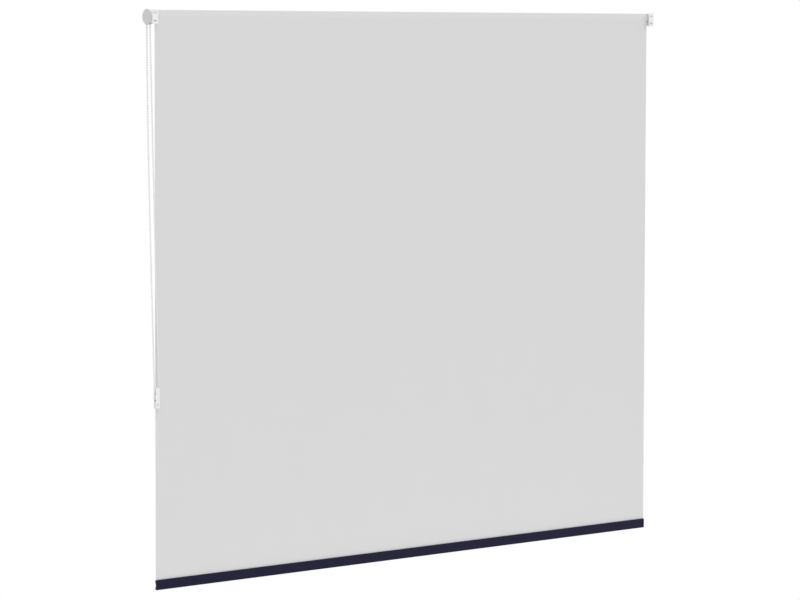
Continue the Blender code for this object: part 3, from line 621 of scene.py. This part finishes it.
def folded_strip(low, high):
    """The section through a bracket's flange and arm, a little longer than both."""
    bend = STEEL_BEND_RADIUS + STEEL_THICKNESS
    inner = low.x
    outer = inner + STEEL_THICKNESS
    points = [(high.x + GAP, 0.0), (high.x + GAP, -STEEL_THICKNESS)]
    points += arc((outer + STEEL_BEND_RADIUS, -bend), STEEL_BEND_RADIUS, 90, 180)
    points += [(outer, low.y - GAP), (inner, low.y - GAP)]
    return points + arc((inner + bend, -bend), bend, 180, 90, OUTER_BEND_STEPS)


def flange_outline(low, high):
    """A bracket's flange from the front, with two round corners."""
    right = high.x - FLANGE_CORNER
    points = [(right, -high.z), (low.x - GAP, -high.z), (low.x - GAP, high.z)]
    points += arc((right, high.z - FLANGE_CORNER), FLANGE_CORNER, 90, 0)
    return points + arc((right, FLANGE_CORNER - high.z), FLANGE_CORNER, 0, -90)[:-1]


def arm_outline(low, high):
    """A bracket's arm from the side, which narrows from its shoulder to a round end."""
    radius = AXIS.y - low.y
    slope = (-ARM_SHOULDER - AXIS.y) / (high.z - radius)
    shoulder = -ARM_SHOULDER + GAP * slope
    side = high.z + GAP
    points = [(GAP, -side), (GAP, side), (shoulder, side)]
    return points + arc((AXIS.y, AXIS.z), radius, 90, 270, ROUND_END_STEPS) + [(shoulder, -side)]


def gusset_outline(outer):
    """The small rib in a bracket's bend."""
    return [
        (outer - GAP, GAP - STEEL_THICKNESS),
        (outer + GUSSET_REACH, GAP - STEEL_THICKNESS),
        (outer + GUSSET_REACH, -STEEL_THICKNESS),
        (outer, -STEEL_THICKNESS - GUSSET_REACH),
        (outer - GAP, -STEEL_THICKNESS - GUSSET_REACH),
    ]


def bracket(name, node, hole):
    """A folded steel bracket: a slotted flange on the wall and an arm with its hole."""
    low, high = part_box(node)
    outer = low.x + STEEL_THICKNESS
    piece = add(name, extruded(folded_strip(low, high), -high.z - GAP, high.z + GAP, "Z"))
    combine(piece, extruded(flange_outline(low, high), 2 * low.y, GAP, "Y"), "INTERSECT")
    combine(piece, extruded(arm_outline(low, high), low.x - GAP, high.x + GAP), "INTERSECT")
    join(piece, extruded(gusset_outline(outer), -GUSSET_THICKNESS / 2, GUSSET_THICKNESS / 2, "Z"))
    slots = bmesh.new()
    middle = (outer + high.x) / 2
    for height in (-SLOT_OFFSET, SLOT_OFFSET):
        outline = slot_outline((middle, height), SLOT_LENGTH, SLOT_WIDTH)
        extruded(outline, -2 * STEEL_THICKNESS, STEEL_THICKNESS, "Y", slots)
    cut(piece, slots)
    cut(piece, extruded(hole, low.x - STEEL_THICKNESS, outer + STEEL_THICKNESS))
    settle(piece, EDGE_ROUNDING)
    dress(piece, PAINT, "wall_fixings", "bracket_paint", node)


def brackets():
    """The chain bracket with its six-sided hole and the idle bracket with its round one."""
    centre = (AXIS.y, AXIS.z)
    bracket("chain_bracket", "bracket_chain_side", hexagon(centre, CLUTCH_KEY_HALF_WIDTH + GAP))
    hole = polygon(centre, PIN_HOLE_RADIUS, ROUND_END_STEPS)
    bracket("idle_bracket", "bracket_idle_side", hole)


def clutch_shell():
    """The round shell about the sprocket, open below for the chain."""
    back = SHELL_LOW.x + SHELL_BACK
    profile = [
        (back, SHELL_BORE_RADIUS),
        (SHELL_LOW.x, SHELL_BORE_RADIUS),
        (SHELL_LOW.x, CLUTCH_RADIUS),
        (SHELL_HIGH.x, CLUTCH_RADIUS),
        (SHELL_HIGH.x, CLUTCH_RADIUS - SHELL_WALL),
        (back, CLUTCH_RADIUS - SHELL_WALL),
        (back, SHELL_BORE_RADIUS),
    ]
    piece = add("clutch_shell", turned(softened(profile, EDGE_ROUNDING)[:-1], ring=True), AXIS)
    reach = PITCH_RADIUS + BEAD_RADIUS + MOUTH_MARGIN
    mouth = box_outline((-reach, -2 * CLUTCH_RADIUS), (reach, -SHELL_BORE_RADIUS / 2))
    cut(piece, extruded(mouth, back, SHELL_HIGH.x + GAP), place=AXIS)
    settle(piece)
    dress(piece, WHITE, "wall_fixings", "white_plastic", "clutch_housing")


def clutch_disc():
    """The grooved disc over the sprocket."""
    inner = SHELL_HIGH.x + GAP
    face = inner + DISC_THICKNESS
    profile = [(DISC_LOW.x, 0.0), (DISC_LOW.x, DISC_PIN_RADIUS), (inner, DISC_PIN_RADIUS)]
    profile += [(inner, CLUTCH_RADIUS)]
    edge = (face - DISC_ROUNDING, CLUTCH_RADIUS - DISC_ROUNDING)
    profile += arc(edge, DISC_ROUNDING, 90, 0, DISC_EDGE_STEPS)
    for radius in DISC_GROOVE_RADII:
        outer = radius + DISC_GROOVE_WIDTH / 2
        slope = DISC_GROOVE_DEPTH / 2
        profile += [(face, outer), (face - DISC_GROOVE_DEPTH, outer - slope)]
        profile += [(face - DISC_GROOVE_DEPTH, outer - DISC_GROOVE_WIDTH + slope)]
        profile += [(face, outer - DISC_GROOVE_WIDTH)]
    profile += [(face, DISC_BOSS_RADIUS), (DISC_HIGH.x, DISC_BOSS_RADIUS / 2), (DISC_HIGH.x, 0.0)]
    piece = add("clutch_disc", turned(softened(profile, EDGE_ROUNDING / 2)), AXIS)
    settle(piece, sharp=60.0)
    dress(piece, GREY, "wall_fixings", "grey_plastic", "clutch_cover")


def bar_section(inset=0.0):
    """The bottom bar's outline with the groove along its room side, or one set in from it."""
    low = (BAR_LOW.y + inset, BAR_LOW.z + inset)
    high = (BAR_HIGH.y - inset, BAR_HIGH.z - inset)
    points = box_outline(low, high, BAR_CORNER - inset)
    half_way = len(points) // 2
    groove_low = BAR_LOW.z + BAR_GROOVE_RISE - inset
    groove_high = BAR_HIGH.z - BAR_GROOVE_DROP + inset
    groove = [
        points[half_way - 1],
        (low[0], groove_high),
        (low[0] + BAR_GROOVE_DEPTH, groove_high - BAR_GROOVE_SLOPE),
        (low[0] + BAR_GROOVE_DEPTH, groove_low + BAR_GROOVE_SLOPE),
        (low[0], groove_low),
        points[half_way],
    ]
    return points[:half_way - 1] + softened(groove, GROOVE_ROUNDING) + points[half_way + 1:]


def bar_chamber(inset=0.0):
    """The closed chamber under the bar's channel, behind its groove."""
    wall = BAR_WALL + inset
    low = (BAR_LOW.y + wall, BAR_LOW.z + wall)
    high = (BAR_HIGH.y - wall, BAR_HIGH.z - 2 * BAR_WALL - 2 * BAR_CHANNEL_RADIUS - inset)
    behind = low[0] + BAR_GROOVE_DEPTH
    step = BAR_LOW.z + BAR_GROOVE_RISE - wall
    corner = (step - low[1]) / 2
    upper = box_outline((behind, step), high, corner, BAR_EDGE_STEPS)
    lower = box_outline(low, high, corner, BAR_EDGE_STEPS)
    half_way = len(upper) // 2
    return upper[:half_way] + [(behind, step), (low[0], step)] + lower[half_way:]


def fabric_slit():
    """The outline of the slot that the fabric enters the bar through."""
    half = BAR_SLOT_WIDTH / 2
    channel = BAR_HIGH.z - BAR_WALL - BAR_CHANNEL_RADIUS
    return box_outline((SHEET_Y - half, channel), (SHEET_Y + half, BAR_HIGH.z + GAP))


def weight_bar():
    """The extruded bar with its keyhole channel."""
    end = BAR_HIGH.x
    channel = Vector((0.0, SHEET_Y, BAR_HIGH.z - BAR_WALL - BAR_CHANNEL_RADIUS))
    piece = add("weight_bar", extruded(bar_section(), -end, end))
    cut(piece, extruded(bar_chamber(), -end - GAP, end + GAP))
    cut(piece, rod(-end - GAP, end + GAP, BAR_CHANNEL_RADIUS), place=channel)
    cut(piece, extruded(fabric_slit(), -end - GAP, end + GAP))
    settle(piece, EDGE_ROUNDING / 2)
    dress(piece, NAVY, "bar", "bar_paint", "bottom_bar")


def bar_caps():
    """The rounded end caps, each with a spigot in the bar and a slit for the fabric."""
    for side, end in ((1, "chain"), (-1, "idle")):
        node = f"bar_end_cap_{end}_side"
        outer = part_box(node)[1].x if side > 0 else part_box(node)[0].x
        inner = side * (BAR_HIGH.x + GAP)
        sections = [[(inner, y, z) for y, z in bar_section()]]
        for along, rise in arc((0.0, 0.0), CAP_ROUNDING, 0, 90, BAR_EDGE_STEPS):
            inset = CAP_ROUNDING - along
            place = outer - side * (CAP_ROUNDING - rise)
            sections.append([(place, y, z) for y, z in bar_section(inset)])
        piece = add(f"{end}_bar_cap", lofted(sections))
        join(piece, extruded(bar_chamber(GAP), inner - side * CAP_SPIGOT_LENGTH, inner + side * GAP))
        cut(piece, extruded(fabric_slit(), inner - side * GAP, side * (EDGE + 2 * GAP)))
        settle(piece)
        dress(piece, CAP_NAVY, "bar", "cap_plastic", node)


def tensioner():
    """The wall block that holds the chain's loop, in a base and a front plate."""
    low = (BASE_LOW.x, BASE_LOW.z)
    high = (BASE_HIGH.x, BASE_HIGH.z)
    outline = box_outline(low, high, FLANGE_CORNER)
    plate = FRONT_HIGH.y - FRONT_LOW.y
    hole_height = PULLEY.z - TENSIONER_HOLE_DROP
    hole = polygon((PULLEY.x, hole_height), TENSIONER_HOLE_WIDTH / 2, HOLE_STEPS)
    base = add("tensioner_block", extruded(outline, -plate, 0.0, "Y"))
    boss_top = PULLEY.z - PITCH_RADIUS - BEAD_RADIUS - 2 * GAP
    boss = box_outline((low[0] + GAP, low[1] + GAP), (high[0] - GAP, boss_top), FLANGE_CORNER - GAP)
    join(base, extruded(boss, FRONT_HIGH.y + GAP, -plate / 2, "Y"))
    cut(base, extruded(hole, 2 * FRONT_LOW.y, plate, "Y"))
    front = add("tensioner_plate", extruded(outline, FRONT_LOW.y, FRONT_HIGH.y, "Y"))
    cut(front, extruded(hole, 2 * FRONT_LOW.y, plate, "Y"))
    on_axle = {"place": (PULLEY.x, 0.0, PULLEY.z), "turn": -math.pi / 2}
    cut(base, rod(plate / 2 - GAP, -FRONT_HIGH.y, AXLE_HOLE_RADIUS), **on_axle)
    cut(front, rod(plate, -2 * FRONT_LOW.y, AXLE_HOLE_RADIUS), **on_axle)
    make_final(base, EDGE_ROUNDING)
    key = slot_outline(
        (PULLEY.x, hole_height + TENSIONER_KEY_RISE / 2),
        TENSIONER_KEY_RISE + TENSIONER_KEY_WIDTH,
        TENSIONER_KEY_WIDTH,
        upright=True,
    )
    cut(base, extruded(key, -plate - GAP, plate, "Y"))
    settle(base)
    settle(front, EDGE_ROUNDING)
    for piece, node in ((base, "tensioner_base"), (front, "tensioner_front")):
        dress(piece, WHITE, "wall_fixings", "white_plastic", node)


def bow(rise):
    """How far a strand stands off its straight line, from 0 at the wheels to 1 above its middle."""
    peak = STRAND_SAG_POWER / (STRAND_SAG_POWER + 1)
    return (rise / peak) ** STRAND_SAG_POWER * (1 - rise) / (1 - peak)


def on_wheel(centre, forward, outward, share):
    """A point of a wheel's half turn, which starts behind its centre and ends before it."""
    turn = math.pi * share
    return centre + PITCH_RADIUS * (math.sin(turn) * outward - math.cos(turn) * forward)


def on_strand(start, end, sag, share):
    """A point of a strand that bows into the room."""
    point = start.lerp(end, share)
    point.y -= sag * bow((point.z - PULLEY.z) / (AXIS.z - PULLEY.z))
    return point


def chain_places(steps=1):
    """Points along the chain's loop, a step or more to a bead, in register with the pockets."""
    sprocket = Vector((SHELL_HIGH.x - WHEEL_WIDTH / 2, AXIS.y, AXIS.z))
    along, into_wall, up = Matrix.Identity(3)
    half_turn = SPROCKET_POCKETS / 2 * BEAD_PITCH
    wall_strand = (sprocket + PITCH_RADIUS * into_wall, PULLEY - PITCH_RADIUS * along)
    room_strand = (PULLEY + PITCH_RADIUS * along, sprocket - PITCH_RADIUS * into_wall)
    legs = [
        (half_turn, on_wheel, (sprocket, into_wall, up)),
        (math.dist(*wall_strand), on_strand, (*wall_strand, WALL_STRAND_SAG)),
        (half_turn, on_wheel, (PULLEY, along, -up)),
        (math.dist(*room_strand), on_strand, (*room_strand, ROOM_STRAND_SAG)),
    ]
    loop = sum(length for length, _, _ in legs)
    count = round(loop / BEAD_PITCH) * steps
    places = []
    for index in range(count):
        way = loop * index / count
        for length, point_on, route in legs:
            if way <= length:
                break
            way -= length
        places.append(point_on(*route, way / length))
    return places


def bead_pattern():
    """The mesh of one bead, which lies along the X axis with a small collar at either side."""
    reach = math.degrees(math.asin(BEAD_COLLAR_RADIUS / BEAD_RADIUS))
    collar = BEAD_COLLAR_RADIUS * BEAD_COLLAR_TAPER
    profile = [(-BEAD_COLLAR_REACH, 0.0), (-BEAD_COLLAR_REACH, collar)]
    profile += arc((0.0, 0.0), BEAD_RADIUS, 180 - reach, reach, BEAD_PROFILE_STEPS)
    profile += [(BEAD_COLLAR_REACH, collar), (BEAD_COLLAR_REACH, 0.0)]
    single = turned(profile, steps=BEAD_STEPS)
    bmesh.ops.recalc_face_normals(single, faces=single.faces)
    pattern = bpy.data.meshes.new("bead_pattern")
    single.to_mesh(pattern)
    single.free()
    return pattern


def chain_beads():
    """The beads along the chain's loop, each in line with its two neighbours."""
    pattern = bead_pattern()
    places = chain_places()
    beads = bmesh.new()
    for index, place in enumerate(places):
        direction = places[(index + 1) % len(places)] - places[index - 1]
        turn = direction.to_track_quat("X", "Z").to_matrix().to_4x4()
        before = len(beads.verts)
        beads.from_mesh(pattern)
        beads.verts.ensure_lookup_table()
        bmesh.ops.transform(beads, matrix=Matrix.Translation(place) @ turn, verts=beads.verts[before:])
    bpy.data.meshes.remove(pattern)
    piece = settle(add("chain_beads", beads), sharp=50.0)
    dress(piece, BEADS, "wall_fixings", "chain_plastic", "bead_chain")


def chain_cord():
    """The thin cord that the beads are moulded on."""
    route = chain_places(CORD_STEPS)
    line = bpy.data.curves.new("chain_cord_line", "CURVE")
    line.dimensions = "3D"
    line.bevel_depth = CORD_RADIUS
    line.bevel_resolution = 2
    spline = line.splines.new("POLY")
    spline.points.add(len(route) - 1)
    spline.use_cyclic_u = True
    for place, point in zip(route, spline.points):
        point.co = (*place, 1.0)
    cord = bpy.data.objects.new("chain_cord", line)
    bpy.context.collection.objects.link(cord)
    dress(cord, CORD, "wall_fixings", "chain_plastic")


def pin_spring():
    """The idle pin's spring, with close end turns."""
    radius = (SPRING_HIGH.z - SPRING_LOW.z - PIN_SPRING_WIRE) / 2
    length = SPRING_HIGH.x - SPRING_LOW.x
    open_turns = PIN_SPRING_TURNS - 2
    pitch = (length - PIN_SPRING_WIRE - 2 * PIN_SPRING_END_PITCH) / open_turns
    sections = []
    for index in range(PIN_SPRING_TURNS * PIN_SPRING_STEPS + 1):
        turn = index / PIN_SPRING_STEPS
        opened = min(max(turn - 1, 0), open_turns)
        along = SPRING_LOW.x + PIN_SPRING_WIRE / 2
        along += pitch * opened + PIN_SPRING_END_PITCH * (turn - opened)
        section = []
        for outward, forward in polygon((0.0, 0.0), PIN_SPRING_WIRE / 2, PIN_SPRING_SIDES):
            reach = radius + outward
            angle = math.tau * turn
            section.append((along + forward, reach * math.cos(angle), reach * math.sin(angle)))
        sections.append(section)
    piece = settle(add("pin_spring", lofted(sections), (0.0, AXIS.y, AXIS.z)))
    dress(piece, STEEL_WIRE, "roller", "spring_steel", "idle_pin_spring")
    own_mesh(piece)


def fabric_ripple(x, drop):
    """How far the hanging fabric stands off its plane; drop runs from 0 at the roll to 1 at the bar."""
    waves = math.sin(math.tau * x / RIPPLE_LONG_WAVE + RIPPLE_LONG_START)
    waves += RIPPLE_SHORT_SHARE * math.sin(math.tau * x / RIPPLE_SHORT_WAVE + RIPPLE_SHORT_START)
    cup = EDGE_CUP_SHARE * math.exp((abs(x) - EDGE) / EDGE_CUP_REACH)
    return RIPPLE_HEIGHT * math.sin(math.pi * drop) * (waves - cup)


def sheet_rows(shape, length, offset):
    """Points over one side of the hanging sheet, in rows from the top down."""
    rows = []
    for row in range(SHEET_ROWS + 1):
        drop = row / SHEET_ROWS
        line = []
        for column in range(SHEET_COLUMNS + 1):
            x = EDGE * (2 * column / SHEET_COLUMNS - 1)
            y = SHEET_Y + offset + fabric_ripple(x, drop)
            line.append(shape.verts.new((x, y, -length * drop)))
        rows.append(line)
    return rows


def strip(shape, line, following):
    """A row of faces between two lines of points."""
    for index in range(len(line) - 1):
        shape.faces.new((line[index], line[index + 1], following[index + 1], following[index]))


def fabric_drop():
    """The hanging sheet: coated towards the wall, woven towards the room."""
    shape = bmesh.new()
    length = -SHEET_LOW.z
    wall_side = sheet_rows(shape, length, FABRIC_THICKNESS / 2)
    room_side = sheet_rows(shape, length, -FABRIC_THICKNESS / 2)
    for rows in (wall_side, room_side):
        for row, following in zip(rows, rows[1:]):
            strip(shape, row, following)
    for end in (0, -1):
        strip(shape, wall_side[end], room_side[end])
    for end in (0, -1):
        strip(shape, [row[end] for row in wall_side], [row[end] for row in room_side])
    piece = settle(add("fabric_drop", shape))
    dress(piece, COATING, "wall_fixings", "fabric", "fabric_sheet")
    piece.data.materials.append(WEAVE)
    for face in piece.data.polygons:
        faces_room = face.normal.y < -0.5
        face.material_index = int(faces_room)
    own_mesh(piece)
    return piece


def fabric_lead():
    """The roll's last turn, from where the sheet hangs, over the top and round to under the sheet."""
    inner = ROLL_RADIUS + GAP
    outer = inner + FABRIC_THICKNESS
    centre = (AXIS.y, AXIS.z)
    outside = []
    inside = []
    for index in range(TURN_STEPS + 1):
        share = index / TURN_STEPS
        angle = LAST_TURN_ANGLE * share
        radius = outer + (inner - LAST_TURN_TUCK - outer) * share
        backing = max(radius - FABRIC_THICKNESS, ROLL_RADIUS + LAST_TURN_TUCK / 2)
        outside.append(around(centre, radius, angle))
        inside.append(around(centre, backing, angle))
    piece = settle(add("fabric_lead", extruded(outside + inside[::-1], -EDGE, EDGE)))
    return dress(piece, COATING, "wall_fixings", "fabric", "fabric_sheet")


def fabric_turns():
    """The fabric wound on the tube."""
    inner = ROLL_RADIUS - FABRIC_THICKNESS
    profile = [(-EDGE, inner), (-EDGE, ROLL_RADIUS), (EDGE, ROLL_RADIUS), (EDGE, inner)]
    piece = settle(add("fabric_turns", turned(profile, ring=True, steps=ROLL_STEPS), AXIS))
    return dress(piece, COATING, "roller", "fabric", "fabric_roll")


def smoothing(name, angle):
    """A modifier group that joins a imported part's faces and shades them smooth up to an angle."""
    group = bpy.data.node_groups.new(name, "GeometryNodeTree")
    for way in ("INPUT", "OUTPUT"):
        group.interface.new_socket(name="Geometry", in_out=way, socket_type="NodeSocketGeometry")
    nodes = group.nodes
    start = nodes.new("NodeGroupInput")
    bare = nodes.new("GeometryNodeRemoveAttribute")
    bare.inputs["Name"].default_value = "custom_normal"
    welded = nodes.new("GeometryNodeMergeByDistance")
    welded.inputs["Distance"].default_value = MERGE_DISTANCE
    faces = nodes.new("GeometryNodeSetShadeSmooth")
    faces.domain = "FACE"
    edges = nodes.new("GeometryNodeSetShadeSmooth")
    edges.domain = "EDGE"
    bend = nodes.new("GeometryNodeInputMeshEdgeAngle")
    gentle = nodes.new("FunctionNodeCompare")
    gentle.operation = "LESS_THAN"
    gentle.inputs[1].default_value = math.radians(angle)
    end = nodes.new("NodeGroupOutput")
    group.links.new(bend.outputs["Unsigned Angle"], gentle.inputs[0])
    group.links.new(gentle.outputs[0], edges.inputs["Shade Smooth"])
    for source, target in ((start, bare), (bare, welded), (welded, faces), (faces, edges), (edges, end)):
        group.links.new(source.outputs[0], target.inputs[0])
    return group


def packed_parts():
    """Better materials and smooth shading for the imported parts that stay."""
    gentle = smoothing("smooth_faces", angle=35.0)
    round_wire = smoothing("smooth_wire", angle=75.0)
    looks = {
        "clutch_core": GREY,
        "chain_sprocket": WHITE,
        "drive_fork": GREY,
        "wrap_spring_inner": STEEL_WIRE,
        "wrap_spring_outer": STEEL_WIRE,
        "drive_hub": GREY,
        "roller_tube": MILL_METAL,
        "tube_spline": WHITE,
        "idle_plug": WHITE,
        "idle_pin": GREY,
        "idle_plug_cap": GREY,
        "bar_spline": WHITE,
        "tensioner_axle": STEEL_WIRE,
        "tensioner_pulley": WHITE,
    }
    for name, look in looks.items():
        node = frame["nodes"][name]
        for slot in node.material_slots:
            slot.material = look
        modifier = node.modifiers.new("smooth_faces", "NODES")
        modifier.node_group = round_wire if "spring" in name else gentle


def white_level(tree):
    """Full white for rays from the camera or off gloss, and less for those that light surfaces."""
    path = tree.nodes.new("ShaderNodeLightPath")
    total = path.outputs["Is Camera Ray"]
    for name in ("Is Glossy Ray", "Is Transmission Ray"):
        adder = tree.nodes.new("ShaderNodeMath")
        adder.operation = "ADD"
        adder.use_clamp = True
        tree.links.new(total, adder.inputs[0])
        tree.links.new(path.outputs[name], adder.inputs[1])
        total = adder.outputs[0]
    level = tree.nodes.new("ShaderNodeMapRange")
    level.inputs["To Min"].default_value = WORLD_LEVEL
    level.inputs["To Max"].default_value = 1.0
    tree.links.new(total, level.inputs["Value"])
    return level.outputs["Result"]


def studio():
    """A white room: even light, a soft key on the wall side and a soft fill on the room side."""
    world = bpy.data.worlds.new("white_room")
    world.use_nodes = True
    background = world.node_tree.nodes["Background"]
    background.inputs["Color"].default_value = (1.0, 1.0, 1.0, 1.0)
    world.node_tree.links.new(white_level(world.node_tree), background.inputs["Strength"])
    bpy.context.scene.world = world
    for name, level, source in (("key", KEY_LEVEL, KEY_FROM), ("fill", FILL_LEVEL, FILL_FROM)):
        sun = bpy.data.lights.new(name, "SUN")
        sun.energy = level
        sun.angle = math.radians(SOFT_SUN_ANGLE)
        lamp = bpy.data.objects.new(name, sun)
        lamp.rotation_euler = source.to_track_quat("Z", "Y").to_euler()
        bpy.context.collection.objects.link(lamp)


def floor():
    """A pale floor well below the blind, which fades into the white room at its edge."""
    shape = bmesh.new()
    bmesh.ops.create_circle(shape, cap_ends=True, radius=FLOOR_RADIUS, segments=TURN_STEPS)
    piece = add("floor", shape, (0.0, 0.0, FLOOR_HEIGHT))
    look = Look("floor_paint", (FLOOR_COLOUR,) * 3, roughness=0.9, specular=0.0)
    flat = look.node("ShaderNodeVectorMath", operation="MULTIPLY")
    flat.inputs[1].default_value = (1.0, 1.0, 0.0)
    look.link(look.place, flat.inputs[0])
    far = look.node("ShaderNodeVectorMath", operation="LENGTH")
    look.link(flat.outputs[0], far.inputs[0])
    fade = look.node("ShaderNodeMapRange", interpolation_type="SMOOTHSTEP")
    fade.inputs["From Min"].default_value = FLOOR_FADE_START * FLOOR_RADIUS
    fade.inputs["From Max"].default_value = FLOOR_FADE_END * FLOOR_RADIUS
    look.link(far.outputs["Value"], fade.inputs["Value"])
    white = look.node("ShaderNodeEmission")
    look.link(white_level(look.tree), white.inputs["Strength"])
    mixed = look.node("ShaderNodeMixShader")
    look.link(fade.outputs["Result"], mixed.inputs[0])
    look.link(look.shader.outputs[0], mixed.inputs[1])
    look.link(white.outputs[0], mixed.inputs[2])
    look.link(mixed.outputs[0], look.tree.nodes["Material Output"].inputs["Surface"])
    piece.data.materials.append(look.material)


def camera():
    """The photograph's view, from the wall side."""
    azimuth = math.radians(CAMERA_AZIMUTH)
    pitch = math.radians(CAMERA_PITCH)
    roll = math.radians(CAMERA_ROLL)
    right = Vector((math.cos(azimuth), math.sin(azimuth), 0.0))
    level_back = Vector((math.sin(azimuth), -math.cos(azimuth), 0.0))
    back = math.cos(pitch) * level_back + Vector((0.0, 0.0, math.sin(pitch)))
    up = back.cross(right)
    level_right = math.cos(roll) * right + math.sin(roll) * up
    level_up = math.cos(roll) * up - math.sin(roll) * right
    data = bpy.data.cameras.new("photograph")
    data.sensor_width = SENSOR_WIDTH
    data.lens = FOCAL_PIXELS * SENSOR_WIDTH / IMAGE_WIDTH
    data.shift_y = FRAMING_SHIFT_PIXELS / IMAGE_WIDTH
    view = bpy.data.objects.new("photograph", data)
    turn = Matrix((level_right, level_up, back)).transposed()
    view.matrix_world = Matrix.Translation(CAMERA_PLACE) @ turn.to_4x4()
    bpy.context.collection.objects.link(view)
    bpy.context.scene.camera = view


camera()
studio()
floor()
brackets()
clutch_shell()
clutch_disc()
weight_bar()
bar_caps()
tensioner()
chain_beads()
chain_cord()
pin_spring()
turns = fabric_turns()
lead = fabric_lead()
drop = fabric_drop()
packed_parts()
bpy.context.scene.view_settings.view_transform = "Standard"
